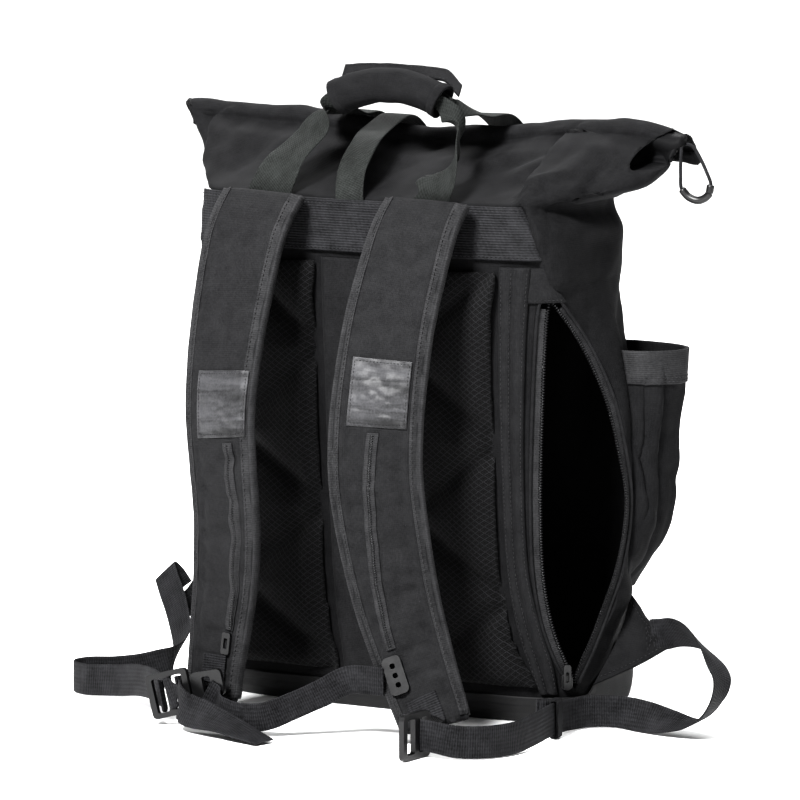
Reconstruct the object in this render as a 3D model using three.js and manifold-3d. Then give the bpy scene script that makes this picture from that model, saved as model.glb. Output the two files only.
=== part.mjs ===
// Roll-top laptop backpack, standing on its base with its harness towards -Y.
// Millimetres, +Z up, +X to the wearer's open side compartment, origin on the floor under the base.
import * as THREE from 'three';
import { mergeVertices } from 'three/addons/utils/BufferGeometryUtils.js';
import Module from 'manifold-3d';

const wasm = await Module();
wasm.setup();

// Bag body
const bodyWidth = 330;
const bodyDepth = 125;
const bodyHeight = 404; // floor to the seam above the yoke
const collarRise = 34; // that seam to the start of the roll
const ridgeHalfWidth = 228;
const ridgeShift = -5; // the roll hangs a little to the left
const leftEase = 6; // extra fullness of the left side
const shellWall = 2.4;
const floorWall = 3;
const seamGap = 0.3; // clearance between pieces sewn or laid on each other
const ringSteps = 40;

// Roll of the collar
const rollRadius = 9;
const rollThickness = 7;
const rollFlapLength = 22;
const rollFlapAngle = 37;

// Base boot
const bootWall = 1.6;
const bootSideHeight = 58;
const bootBackHeight = 21;

// Harness panel
const padThickness = 11;
const padGrooveDepth = 5;
const padGrooveWidth = 13;
const borderThickness = 5;
const panelThickness = 1.5;
const panelTop = 357; // top edge of pads, borders and spine panel
const yokeHeight = 42;

// Side compartment with its zip
const slotBottom = 27;
const slotTop = 342;
const slotFlare = 28; // how far the open flap stands out
const tapeWidth = 8;
const tapeThickness = 1.2;

// Bottle pocket
const pocketTop = 288;
const pocketBottom = 97;
const pocketReach = 54;
const pocketWall = 2;
const hemHeight = 26;
const hemThickness = 1;
const pocketStandOff = 0.9; // room for the seam under the pocket's edges

// Shoulder straps
const strapWidth = 73;
const strapThickness = 12;
const strapCentre = -6;
const strapTop = 406;
const strapTipHeight = 15;
const patchHeight = 50;
const patchThickness = 0.8;
const strapZipThickness = 2;

// Webbing and plastic
const webWidth = 25;
const webThickness = 1.6;
const handleWebWidth = 38;
const lockThickness = 4.5;
const lockRim = 5;
const lockLength = 36;
const gather = 0.8; // how far webbing may fill the inside of an edgewise turn
const sternumWebWidth = 22;
const sternumSliderWidth = 15;
const sternumSliderLength = 30;
const sternumBuckleWidth = 26;
const sternumBuckleHeight = 21;

// Handle
const gripRadius = 13;
const gripWall = 3;
const gripHeight = 489; // centre of the grip at mid length
const gripReach = -50;
const gripHalfLength = 48;
const gripBow = 12; // drop of the grip's ends
const flapThickness = 3;

// Pull cord at the end of the roll
const cordDiameter = 2.6;
const cordTubeDiameter = 6;

const up = new THREE.Vector3(0, 0, 1);
const group = new THREE.Group();

const finishes = {
  pack_cloth: { color: 0x2d2d2f, roughness: 0.85, metalness: 0 },
  boot_cloth: { color: 0x5a5a5c, roughness: 0.55, metalness: 0 },
  ripstop: { color: 0x303031, roughness: 0.8, metalness: 0 },
  air_mesh: { color: 0x141416, roughness: 0.9, metalness: 0 },
  reflective: { color: 0x77777a, roughness: 0.4, metalness: 0.2 },
  webbing: { color: 0x38393a, roughness: 0.75, metalness: 0 },
  handle_webbing: { color: 0x454846, roughness: 0.75, metalness: 0 },
  plastic: { color: 0x2a2a2b, roughness: 0.45, metalness: 0 },
  zip: { color: 0x1c1c1d, roughness: 0.4, metalness: 0.1 },
};

// Adds one named piece with its finish
function addPiece(name, geometry, finish) {
  const mesh = new THREE.Mesh(geometry, new THREE.MeshStandardMaterial(finishes[finish]));
  mesh.name = name;
  group.add(mesh);
}

const mix = (a, b, t) => a + (b - a) * t;
const clamp01 = (t) => Math.min(1, Math.max(0, t));
const smooth = (t) => clamp01(t) ** 2 * (3 - 2 * clamp01(t));
const radians = (degrees) => (degrees * Math.PI) / 180;

// Reads a named column of a table at a key, on a smooth curve through its rows
function readTable(rows, keyName, key, column) {
  const last = rows.length - 1;
  let i = 0;
  while (i < last - 1 && rows[i + 1][keyName] < key) i += 1;
  const value = (j) => rows[Math.min(last, Math.max(0, j))][column];
  const at = (j) => rows[Math.min(last, Math.max(0, j))][keyName];
  const span = at(i + 1) - at(i);
  const t = clamp01((key - at(i)) / span);
  const slope = (j) => (value(j + 1) - value(j - 1)) / Math.max(1e-9, at(j + 1) - at(j - 1));
  const t2 = t * t;
  const t3 = t2 * t;
  return (
    (2 * t3 - 3 * t2 + 1) * value(i) +
    (t3 - 2 * t2 + t) * span * slope(i) +
    (3 * t2 - 2 * t3) * value(i + 1) +
    (t3 - t2) * span * slope(i + 1)
  );
}

// Volume enclosed by a triangle list, negative where its faces point inwards
function signedVolume(points, triangles) {
  let sum = 0;
  for (const [a, b, c] of triangles) {
    sum += points[a].dot(new THREE.Vector3().crossVectors(points[b], points[c]));
  }
  return sum / 6;
}

// Closed geometry from points and triangles, turned so that the faces point out
function closedGeometry(points, triangles) {
  const outward = signedVolume(points, triangles) > 0;
  const geometry = new THREE.BufferGeometry();
  const position = new Float32Array(points.length * 3);
  points.forEach((p, i) => p.toArray(position, i * 3));
  geometry.setAttribute('position', new THREE.BufferAttribute(position, 3));
  geometry.setIndex(triangles.flatMap(([a, b, c]) => (outward ? [a, b, c] : [a, c, b])));
  return geometry;
}

// Loft through rings of equal length, each end closed by a fan round its middle
function loft(rings) {
  const count = rings[0].length;
  const points = rings.flat();
  const triangles = [];
  for (let r = 0; r < rings.length - 1; r += 1) {
    for (let i = 0; i < count; i += 1) {
      const a = r * count + i;
      const b = r * count + ((i + 1) % count);
      triangles.push([a, b, b + count], [a, b + count, a + count]);
    }
  }
  for (const [ring, flip] of [[0, true], [rings.length - 1, false]]) {
    const middle = new THREE.Vector3();
    rings[ring].forEach((p) => middle.addScaledVector(p, 1 / count));
    points.push(middle);
    for (let i = 0; i < count; i += 1) {
      const a = ring * count + i;
      const b = ring * count + ((i + 1) % count);
      triangles.push(flip ? [b, a, points.length - 1] : [a, b, points.length - 1]);
    }
  }
  return closedGeometry(points, triangles);
}

// Slab on a surface: surface(u, v) is its underside, thick(u, v) is measured along the normal
function slab(surface, uSteps, vSteps, thick, lift = seamGap) {
  const step = 1e-3;
  const layers = [[], []];
  for (let j = 0; j <= vSteps; j += 1) {
    for (let i = 0; i <= uSteps; i += 1) {
      const u = i / uSteps;
      const v = j / vSteps;
      const p = surface(u, v);
      const du = surface(Math.min(1, u + step), v).sub(surface(Math.max(0, u - step), v));
      const dv = surface(u, Math.min(1, v + step)).sub(surface(u, Math.max(0, v - step)));
      const normal = du.cross(dv).normalize();
      const t = typeof thick === 'function' ? thick(u, v) : thick;
      layers[0].push(p.clone().addScaledVector(normal, lift));
      layers[1].push(p.clone().addScaledVector(normal, lift + t));
    }
  }
  const row = uSteps + 1;
  const size = layers[0].length;
  const triangles = [];
  const quad = (a, b, c, d) => triangles.push([a, b, c], [a, c, d]);
  for (let j = 0; j < vSteps; j += 1) {
    for (let i = 0; i < uSteps; i += 1) {
      const a = j * row + i;
      quad(a, a + row, a + row + 1, a + 1);
      quad(a + size, a + size + 1, a + size + row + 1, a + size + row);
    }
  }
  for (let i = 0; i < uSteps; i += 1) {
    const far = vSteps * row + i;
    quad(i, i + 1, i + 1 + size, i + size);
    quad(far + 1, far, far + size, far + 1 + size);
  }
  for (let j = 0; j < vSteps; j += 1) {
    const near = j * row;
    const far = near + uSteps;
    quad(near + row, near, near + size, near + row + size);
    quad(far, far + row, far + row + size, far + size);
  }
  return closedGeometry(layers.flat(), triangles);
}

// Ribbon along rows of {at, across, width, thick}: flat webbing that may twist on its way.
// Where its path turns edgewise it gathers, so that one section never crosses the next.
function ribbon(rows, steps) {
  const curve = new THREE.CatmullRomCurve3(rows.map((r) => r.at), false, 'centripetal');
  const sections = [];
  for (let i = 0; i <= steps; i += 1) {
    const t = i / steps;
    const k = Math.min(rows.length - 2, Math.floor(t * (rows.length - 1)));
    const local = t * (rows.length - 1) - k;
    const a = rows[k];
    const b = rows[k + 1];
    const tangent = curve.getTangent(t);
    const across = a.across.clone().lerp(b.across, smooth(local));
    across.addScaledVector(tangent, -across.dot(tangent)).normalize();
    const normal = new THREE.Vector3().crossVectors(tangent, across);
    const half = mix(a.width, b.width, smooth(local)) / 2;
    const deep = mix(a.thick, b.thick, smooth(local)) / 2;
    sections.push({ centre: curve.getPoint(t), across, normal, half, deep });
  }
  sections.slice(1).forEach((next, i) => {
    const step = next.centre.clone().sub(sections[i].centre);
    const turned = Math.abs(next.across.clone().sub(sections[i].across).dot(step));
    const room = (gather * step.lengthSq()) / Math.max(1e-9, turned);
    sections[i].half = Math.min(sections[i].half, room);
    next.half = Math.min(next.half, room);
  });
  const corners = [[1, 1], [-1, 1], [-1, -1], [1, -1]];
  const points = sections.flatMap((s) => corners.map(([x, y]) => s.centre.clone()
    .addScaledVector(s.across, x * s.half)
    .addScaledVector(s.normal, y * s.deep)));
  // both broad faces are divided along the same diagonal, so that a twist keeps its thickness
  const cell = [[0, 1, 5], [0, 5, 4], [2, 3, 6], [3, 7, 6], [1, 2, 6], [1, 6, 5], [3, 0, 4], [3, 4, 7]];
  const triangles = [[3, 2, 1], [3, 1, 0]];
  for (let i = 0; i < steps; i += 1) {
    triangles.push(...cell.map((corner) => corner.map((c) => c + 4 * i)));
  }
  triangles.push(...[[0, 1, 2], [0, 2, 3]].map((corner) => corner.map((c) => c + 4 * steps)));
  return closedGeometry(points, triangles);
}

// Solid for joining and cutting
function solidOf(geometry) {
  const bare = geometry.clone();
  bare.deleteAttribute('normal');
  bare.deleteAttribute('uv');
  const merged = mergeVertices(bare, 1e-4);
  return new wasm.Manifold(new wasm.Mesh({
    numProp: 3,
    vertProperties: new Float32Array(merged.attributes.position.array),
    triVerts: new Uint32Array(merged.index.array),
  }));
}

function geometryOf(solid) {
  const { vertProperties, triVerts } = solid.getMesh();
  const geometry = new THREE.BufferGeometry();
  geometry.setAttribute('position', new THREE.BufferAttribute(new Float32Array(vertProperties), 3));
  geometry.setIndex(new THREE.BufferAttribute(new Uint32Array(triVerts), 1));
  return geometry;
}

// Plate of a drawn outline, laid on three axes about its middle
function plate(shape, thickness, middle, across, along) {
  const geometry = new THREE.ExtrudeGeometry(shape, {
    depth: thickness, bevelEnabled: false, curveSegments: 2,
  });
  geometry.translate(0, 0, -thickness / 2);
  const x = across.clone().normalize();
  const z = new THREE.Vector3().crossVectors(x, along).normalize();
  const y = new THREE.Vector3().crossVectors(z, x);
  const frame = new THREE.Matrix4().makeBasis(x, y, z);
  geometry.applyMatrix4(frame.setPosition(middle));
  return geometry;
}

// Rectangle with rounded corners about the origin
function roundedOutline(width, height, radius, PathType = THREE.Shape) {
  const w = width / 2;
  const h = height / 2;
  const path = new PathType();
  path.moveTo(-w + radius, -h);
  path.lineTo(w - radius, -h);
  path.absarc(w - radius, -h + radius, radius, -Math.PI / 2, 0, false);
  path.absarc(w - radius, h - radius, radius, 0, Math.PI / 2, false);
  path.absarc(-w + radius, h - radius, radius, Math.PI / 2, Math.PI, false);
  path.absarc(-w + radius, -h + radius, radius, Math.PI, 1.5 * Math.PI, false);
  return path;
}

// A place given in shares of the bag's width, depth and height
const place = (x, y, z) => new THREE.Vector3(x * bodyWidth, y * bodyDepth, z * bodyHeight);

// Level sections of the trunk: heights share bodyHeight, back and front bodyDepth, half bodyWidth;
// square is the corner exponent of the section
const trunkRows = [
  { up: 0.0, back: -0.46, front: 0.56, half: 0.465, square: 4 },
  { up: 0.022, back: -0.507, front: 0.6, half: 0.497, square: 4.5 },
  { up: 0.1, back: -0.525, front: 0.62, half: 0.5, square: 5 },
  { up: 0.3, back: -0.575, front: 0.62, half: 0.5, square: 5 },
  { up: 0.6, back: -0.65, front: 0.6, half: 0.497, square: 5 },
  { up: 0.88, back: -0.71, front: 0.55, half: 0.493, square: 4.6 },
  { up: 1.0, back: -0.72, front: 0.5, half: 0.49, square: 4 },
];
// Sections of the collar above it: heights share collarRise, half shares ridgeHalfWidth
const collarRows = [
  { up: 0.0, back: -0.72, front: 0.5, half: 0.709, square: 4 },
  { up: 0.26, back: -0.49, front: 0.46, half: 0.83, square: 2.7 },
  { up: 0.56, back: -0.26, front: 0.36, half: 0.91, square: 2.3 },
  { up: 0.78, back: -0.12, front: 0.28, half: 0.95, square: 2.3 },
  { up: 1.0, back: 0.075, front: 0.145, half: 0.98, square: 3 },
];
// How far the ridge stands above its lowest point, as shares of collarRise, across the ridge
const ridgeRows = [
  { across: -1.0, lift: 0.45 },
  { across: -0.75, lift: 0.36 },
  { across: -0.45, lift: 0.27 },
  { across: 0.0, lift: 0.0 },
  { across: 0.26, lift: 0.1 },
  { across: 0.45, lift: 0.24 },
  { across: 0.65, lift: 0.36 },
  { across: 0.85, lift: 0.36 },
  { across: 1.0, lift: 0.12 },
];

// Section of the trunk at a height
function trunkSection(z) {
  const share = z / bodyHeight;
  const read = (column) => readTable(trunkRows, 'up', share, column);
  return {
    back: read('back') * bodyDepth,
    front: read('front') * bodyDepth,
    half: read('half') * bodyWidth,
    square: read('square'),
  };
}

// Outward push of the open flap beside the zip
function flareAt(y, z) {
  const t = clamp01((z - slotBottom) / (slotTop - slotBottom));
  const reach = y / bodyDepth + 0.06;
  return slotFlare * Math.sin(Math.PI * t) ** 0.8 * Math.exp(-((reach / 0.26) ** 2));
}

// Sideways push of the trunk's two sides: the flare on the right, the fullness on the left
function sideEase(x, y, z) {
  const share = smooth((Math.abs(x) / bodyWidth - 0.3) / 0.15);
  return x > 0 ? flareAt(y, z) * share : -leftEase * share;
}

// Point on the trunk's outer face at an angle round it (0 is +X, 90 is +Y) and a height
function trunkPoint(angle, z, inset = 0) {
  const s = trunkSection(z);
  const c = Math.cos(angle);
  const d = Math.sin(angle);
  const norm = (Math.abs(c) ** s.square + Math.abs(d) ** s.square) ** (1 / s.square);
  const x = ((s.half - inset) * c) / norm;
  const y = (s.back + s.front) / 2 + (((s.front - s.back) / 2 - inset) * d) / norm;
  return new THREE.Vector3(x + sideEase(x, y, z), y, z);
}

// Point on the harness face at a width and a height
function backPoint(x, z) {
  const s = trunkSection(z);
  const share = Math.min(0.999, Math.abs(x) / s.half) ** s.square;
  const half = (s.front - s.back) / 2;
  const y = (s.back + s.front) / 2 - half * (1 - share) ** (1 / s.square);
  return new THREE.Vector3(x + (x < 0 ? sideEase(x, y, z) : 0), y, z);
}

// Point on a side face (+1 right, -1 left) at a depth and a height
function sidePoint(y, z, side = 1) {
  const s = trunkSection(z);
  const half = (s.front - s.back) / 2;
  const share = Math.min(0.999, Math.abs(y - (s.back + s.front) / 2) / half) ** s.square;
  const x = side * s.half * (1 - share) ** (1 / s.square);
  return new THREE.Vector3(x + sideEase(x, y, z), y, z);
}

const ringAngles = Array.from({ length: ringSteps }, (_, i) => (i / ringSteps) * 2 * Math.PI);

// Stations of the collar and its roll: centre, half width, half depth and depth direction
function collarStations() {
  const stations = collarRows.map((row) => ({
    y: ((row.back + row.front) / 2) * bodyDepth,
    z: bodyHeight + row.up * collarRise,
    half: row.half * ridgeHalfWidth,
    deep: ((row.front - row.back) / 2) * bodyDepth,
    square: row.square,
    turn: 0,
    rise: row.up,
  }));
  const last = stations[stations.length - 1];
  const arcCentre = { y: last.y + rollRadius, z: last.z + 1 };
  const rollStation = (angle, beyond) => ({
    y: arcCentre.y + rollRadius * Math.cos(angle) + beyond * Math.sin(angle),
    z: arcCentre.z + rollRadius * Math.sin(angle) - beyond * Math.cos(angle),
    half: ridgeHalfWidth,
    deep: rollThickness / 2,
    square: 4,
    turn: Math.PI - angle,
    rise: 1,
  });
  const arcStops = [150, 112, 74, rollFlapAngle];
  arcStops.forEach((stop) => stations.push(rollStation(radians(stop), 0)));
  stations.push(rollStation(radians(rollFlapAngle), rollFlapLength * 0.5));
  stations.push(rollStation(radians(rollFlapAngle), rollFlapLength));
  return stations;
}

// Ring of one collar station, pulled in by a wall and by more at its pointed ends
function collarRing(station, inset = 0, endInset = 0) {
  return ringAngles.map((angle) => {
    const c = Math.cos(angle);
    const d = Math.sin(angle);
    const norm = (Math.abs(c) ** station.square + Math.abs(d) ** station.square)
      ** (1 / station.square);
    const x = ((station.half - endInset) * c) / norm;
    const deep = ((station.deep - inset) * d) / norm;
    const lift = readTable(ridgeRows, 'across', x / ridgeHalfWidth, 'lift') * collarRise;
    const left = x < 0 ? -leftEase * smooth((-x / bodyWidth - 0.3) / 0.15) : 0;
    return new THREE.Vector3(
      x + mix(left, ridgeShift, smooth(station.rise)),
      station.y + deep * Math.cos(station.turn),
      station.z + deep * -Math.sin(station.turn) + lift * smooth(station.rise),
    );
  });
}

// The slot of the open zip, seen square on: shares of its height, and of bodyWidth across
const slotRows = [
  { up: 0.0, left: 0.315, right: 0.325 },
  { up: 0.03, left: 0.29, right: 0.338 },
  { up: 0.09, left: 0.26, right: 0.366 },
  { up: 0.18, left: 0.232, right: 0.4 },
  { up: 0.3, left: 0.214, right: 0.437 },
  { up: 0.46, left: 0.207, right: 0.455 },
  { up: 0.6, left: 0.207, right: 0.438 },
  { up: 0.72, left: 0.209, right: 0.41 },
  { up: 0.85, left: 0.213, right: 0.352 },
  { up: 0.95, left: 0.221, right: 0.286 },
  { up: 1.0, left: 0.237, right: 0.25 },
];
const slotAcross = new THREE.Vector3(0.8, 0.6, 0);
const slotOut = new THREE.Vector3(0.6, -0.8, 0);

// Cutter for the slot, which runs square through the bag's corner
function slotCutter() {
  const height = slotTop - slotBottom;
  const corner = (row, side) => new THREE.Vector2(
    row[side] * bodyWidth,
    slotBottom + row.up * height,
  );
  const outline = slotRows.map((row) => corner(row, 'right'));
  outline.push(...slotRows.map((row) => corner(row, 'left')).reverse());
  const shape = new THREE.Shape(outline);
  const inner = 0.3 * bodyWidth;
  const geometry = new THREE.ExtrudeGeometry(shape, { depth: 0.25 * bodyWidth, bevelEnabled: false });
  const frame = new THREE.Matrix4().makeBasis(slotAcross, up, slotOut);
  geometry.applyMatrix4(frame.setPosition(slotOut.clone().multiplyScalar(inner)));
  return geometry;
}

// Levels of the lowest rings, which the boot's rings follow
const bodyFoot = bootWall + seamGap;
const lowLevels = [bodyFoot, 4, 9, bootBackHeight - 1, bootSideHeight];

// Hollow body: trunk, collar and roll in one wall, opened by the zip slot
function bodyShell() {
  const outer = lowLevels.map((z) => ringAngles.map((angle) => trunkPoint(angle, z)));
  [0.12, 0.25, 0.38, 0.51, 0.64, 0.77, 0.88].forEach((level) => {
    const z = mix(bootSideHeight, bodyHeight, level);
    outer.push(ringAngles.map((angle) => trunkPoint(angle, z)));
  });
  const stations = collarStations();
  stations.forEach((station) => outer.push(collarRing(station)));
  const innerLevels = [0.0, 0.06, 0.18, 0.35, 0.52, 0.7, 0.88];
  const inner = innerLevels.map((level) => {
    const z = mix(bodyFoot + floorWall, bodyHeight, level);
    return ringAngles.map((angle) => trunkPoint(angle, z, shellWall));
  });
  stations.slice(1, 4).forEach((station) => {
    inner.push(collarRing(station, shellWall, shellWall * 5));
  });
  const wall = solidOf(loft(outer)).subtract(solidOf(loft(inner)));
  return geometryOf(wall.subtract(solidOf(slotCutter())));
}

// Coated boot round the lower body, low along the harness side
function baseBoot() {
  const rim = (angle) => mix(
    bootBackHeight,
    bootSideHeight,
    smooth((Math.sin(angle) + 0.45) / 0.4),
  );
  const ring = (level, offset) => ringAngles.map((angle) => trunkPoint(angle, level, -offset));
  const rimRing = (offset) => ringAngles.map((angle) => {
    const [low, high] = lowLevels.slice(-2).map((level) => trunkPoint(angle, level, -offset));
    return low.lerp(high, (rim(angle) - low.z) / (high.z - low.z));
  });
  const outside = bootWall + 2 * seamGap;
  const inside = 2 * seamGap;
  const flat = (level, offset) => ring(bodyFoot, offset).map((p) => p.setZ(level));
  return loft([
    flat(0, outside - bootWall),
    ring(lowLevels[1], outside),
    ring(lowLevels[2], outside),
    ring(lowLevels[3], outside),
    rimRing(outside),
    rimRing(inside),
    ring(lowLevels[3], inside),
    ring(lowLevels[2], inside),
    ring(lowLevels[1], inside),
    flat(bootWall, inside),
  ]);
}

// Ripstop band across the top of the harness face
function yokeBand() {
  const spread = radians(51);
  const surface = (u, v) => trunkPoint(
    mix(-Math.PI / 2 - spread, -Math.PI / 2 + spread, u),
    mix(bodyHeight - yokeHeight, bodyHeight - 1, v),
  );
  return slab(surface, 18, 1, panelThickness, 3 * seamGap);
}

// Edges of the harness panels, as shares of bodyWidth, over shares of panelTop
const panelRows = [
  { up: 0.03, spine: 0.085, pad: 0.44, border: 0.462 },
  { up: 0.12, spine: 0.095, pad: 0.405, border: 0.455 },
  { up: 0.22, spine: 0.107, pad: 0.376, border: 0.43 },
  { up: 0.34, spine: 0.112, pad: 0.358, border: 0.408 },
  { up: 0.55, spine: 0.112, pad: 0.353, border: 0.405 },
  { up: 0.8, spine: 0.112, pad: 0.354, border: 0.415 },
  { up: 1.0, spine: 0.112, pad: 0.36, border: 0.43 },
];
const panelEdge = (v, column) => readTable(panelRows, 'up', v, column) * bodyWidth;
const panelFoot = 0.067;

// The stitched zigzag of a pad: its corners run from the spine (0) to the border (1)
const grooveCorners = [
  { across: 1, up: 1.0 },
  { across: 0, up: 0.8 },
  { across: 1, up: 0.61 },
  { across: 0, up: 0.45 },
  { across: 1, up: 0.27 },
  { across: 0, up: 0.1 },
  { across: 1, up: -0.06 },
];

// Height of a pad over its face: crowned between its edges and pulled down along the zigzag
function padHeight(across, v) {
  let nearest = 1e9;
  const wide = 0.25 * bodyWidth;
  for (let i = 0; i < grooveCorners.length - 1; i += 1) {
    const a = new THREE.Vector2(grooveCorners[i].across * wide, grooveCorners[i].up * panelTop);
    const b = new THREE.Vector2(grooveCorners[i + 1].across * wide, grooveCorners[i + 1].up * panelTop);
    const p = new THREE.Vector2(across * wide, v * panelTop);
    const line = b.clone().sub(a);
    const t = clamp01(p.clone().sub(a).dot(line) / line.lengthSq());
    nearest = Math.min(nearest, p.distanceTo(a.addScaledVector(line, t)));
  }
  const groove = Math.exp(-((nearest / padGrooveWidth) ** 2)) * padGrooveDepth;
  const edge = smooth(Math.min(across, 1 - across) * 6) * smooth(Math.min(v - panelFoot, 1 - v) * 22);
  return mix(0.45, 1, edge) * padThickness - groove * edge;
}

function backPad(side) {
  const surface = (u, v) => {
    const share = mix(panelFoot, 1, v);
    const inner = panelEdge(share, 'spine') + seamGap;
    const outer = panelEdge(share, 'pad') - seamGap;
    const across = side > 0 ? u : 1 - u;
    return backPoint(side * mix(inner, outer, across), share * panelTop);
  };
  const thick = (u, v) => padHeight(side > 0 ? u : 1 - u, mix(panelFoot, 1, v));
  return slab(surface, 7, 18, thick, 2 * seamGap);
}

function backBorder(side) {
  const surface = (u, v) => {
    const share = mix(panelFoot, 1, v);
    const inner = panelEdge(share, 'pad') + seamGap;
    const outer = panelEdge(share, 'border');
    return backPoint(side * mix(inner, outer, side > 0 ? u : 1 - u), share * panelTop);
  };
  const thick = (u) => borderThickness * (0.6 + 0.4 * Math.sin(Math.PI * u));
  return slab(surface, 3, 14, thick, 2 * seamGap);
}

function spinePanel() {
  const surface = (u, v) => {
    const share = mix(panelFoot, 1, v);
    const half = panelEdge(share, 'spine') - seamGap;
    return backPoint(mix(-half, half, u), share * panelTop);
  };
  return slab(surface, 2, 10, panelThickness, 2 * seamGap);
}

// Where the slot's edge meets the outer face, found along the trunk's section
function slotEdge(share, side) {
  const z = mix(slotBottom, slotTop, share);
  const target = readTable(slotRows, 'up', share, side) * bodyWidth;
  let low = -Math.PI / 2;
  let high = 0;
  for (let i = 0; i < 30; i += 1) {
    const middle = (low + high) / 2;
    if (trunkPoint(middle, z).dot(slotAcross) < target) low = middle;
    else high = middle;
  }
  return { point: trunkPoint(low, z), angle: low };
}

// Zip tape along one edge of the slot, standing into the opening
function zipTape(side) {
  const sign = side === 'left' ? 1 : -1;
  const rows = [];
  const stops = [0.06, 0.12, 0.2, 0.3, 0.42, 0.54, 0.66, 0.76, 0.85, 0.945];
  stops.forEach((stop) => {
    const { point, angle } = slotEdge(stop, side);
    const ahead = trunkPoint(angle + sign * 0.02, point.z).sub(point).normalize();
    const outward = new THREE.Vector3().crossVectors(ahead, up).multiplyScalar(sign).normalize();
    const at = point.clone()
      .addScaledVector(ahead, tapeWidth / 2 + (side === 'left' ? 4 : 5) * seamGap)
      .addScaledVector(outward, -shellWall / 2);
    rows.push({ at, across: ahead, width: tapeWidth, thick: tapeThickness });
  });
  return ribbon(rows, 14);
}

// Slider at the foot of the zip
function zipSlider() {
  const { point } = slotEdge(0.02, 'left');
  const shape = roundedOutline(9, 12, 3);
  const middle = point.clone().addScaledVector(slotOut, 2.2);
  return plate(shape, 4, middle, slotAcross, up);
}

function zipPuller() {
  const { point } = slotEdge(0.02, 'left');
  const shape = roundedOutline(6, 20, 2.4);
  shape.holes.push(roundedOutline(2.4, 8, 1, THREE.Path));
  const middle = point.clone().addScaledVector(slotOut, 5.6).addScaledVector(up, 4);
  return plate(shape, 2, middle, slotAcross, up);
}

// Outer reach of the bottle pocket over its height, shares of pocketReach
const pocketRows = [
  { up: 0.0, reach: 0.0 },
  { up: 0.1, reach: 0.3 },
  { up: 0.22, reach: 0.58 },
  { up: 0.3, reach: 0.7 },
  { up: 0.45, reach: 0.8 },
  { up: 0.66, reach: 0.83 },
  { up: 0.86, reach: 0.97 },
  { up: 1.0, reach: 1.0 },
];
const pocketRear = -0.01; // shares of bodyDepth
const pocketFront = 0.46;

function pocketPoint(u, v) {
  const swell = Math.sin(Math.PI * u) ** 0.75;
  const z = mix(pocketBottom, pocketTop, v);
  const y = mix(pocketRear, pocketFront, (1 - Math.cos(Math.PI * u)) / 2) * bodyDepth;
  const base = trunkSection(z).half + pocketReach * readTable(pocketRows, 'up', v, 'reach');
  const side = sidePoint(y, z);
  side.x = mix(side.x + pocketStandOff, Math.max(base, side.x), swell);
  return side;
}

function sidePocket() {
  return slab((u, v) => pocketPoint(u, v), 10, 9, pocketWall, 2 * seamGap);
}

function pocketHem() {
  const share = 1 - hemHeight / (pocketTop - pocketBottom);
  const surface = (u, v) => pocketPoint(mix(0.04, 0.96, u), mix(share, 1, v));
  return slab(surface, 10, 1, hemThickness, pocketWall + 5 * seamGap);
}

// Fabric wing that carries the lower webbing, tapering from the side seam to the webbing's end
const tabOuterTop = new THREE.Vector3(0.633, -0.04, 0.186);
const tabOuterLow = new THREE.Vector3(0.676, -0.04, 0.143);
const tabThickness = 2.4;

function wingTab(side) {
  const surface = (u, v) => {
    const z = mix(0.068, 0.238, v) * bodyHeight;
    const y = mix(-0.19, 0.1, v) * bodyDepth;
    const root = sidePoint(y, z, side);
    root.x += side * (bootWall + tabThickness / 2) + (side > 0 ? 3 : 1) * seamGap;
    const tip = tabOuterLow.clone().lerp(tabOuterTop, v);
    return root.lerp(place(side * tip.x, tip.y, tip.z), u);
  };
  return slab(surface, 4, 3, tabThickness, -tabThickness / 2);
}

// Shoulder strap: shares of strapTop down the strap; aside shares bodyWidth from the centre,
// out shares bodyDepth, twist in degrees, wide shares strapWidth
const strapRows = [
  { up: 1.0, asideRight: 0.215, asideLeft: 0.227, out: -0.8, twist: 0, wide: 1.0 },
  { up: 0.96, asideRight: 0.212, asideLeft: 0.231, out: -0.93, twist: 2, wide: 1.0 },
  { up: 0.91, asideRight: 0.209, asideLeft: 0.234, out: -1.03, twist: 4, wide: 1.0 },
  { up: 0.785, asideRight: 0.2, asideLeft: 0.23, out: -1.2, twist: 9, wide: 1.0 },
  { up: 0.68, asideRight: 0.2, asideLeft: 0.226, out: -1.31, twist: 13, wide: 1.0 },
  { up: 0.585, asideRight: 0.2, asideLeft: 0.221, out: -1.37, twist: 16, wide: 1.0 },
  { up: 0.49, asideRight: 0.203, asideLeft: 0.21, out: -1.385, twist: 17, wide: 1.0 },
  { up: 0.38, asideRight: 0.218, asideLeft: 0.207, out: -1.355, twist: 17, wide: 0.98 },
  { up: 0.265, asideRight: 0.24, asideLeft: 0.224, out: -1.305, twist: 16, wide: 0.93 },
  { up: 0.17, asideRight: 0.279, asideLeft: 0.24, out: -1.3, twist: 15, wide: 0.86 },
  { up: 0.08, asideRight: 0.333, asideLeft: 0.243, out: -1.345, twist: 15, wide: 0.78 },
  { up: 0.037, asideRight: 0.368, asideLeft: 0.236, out: -1.4, twist: 15, wide: 0.74 },
].reverse();

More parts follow.
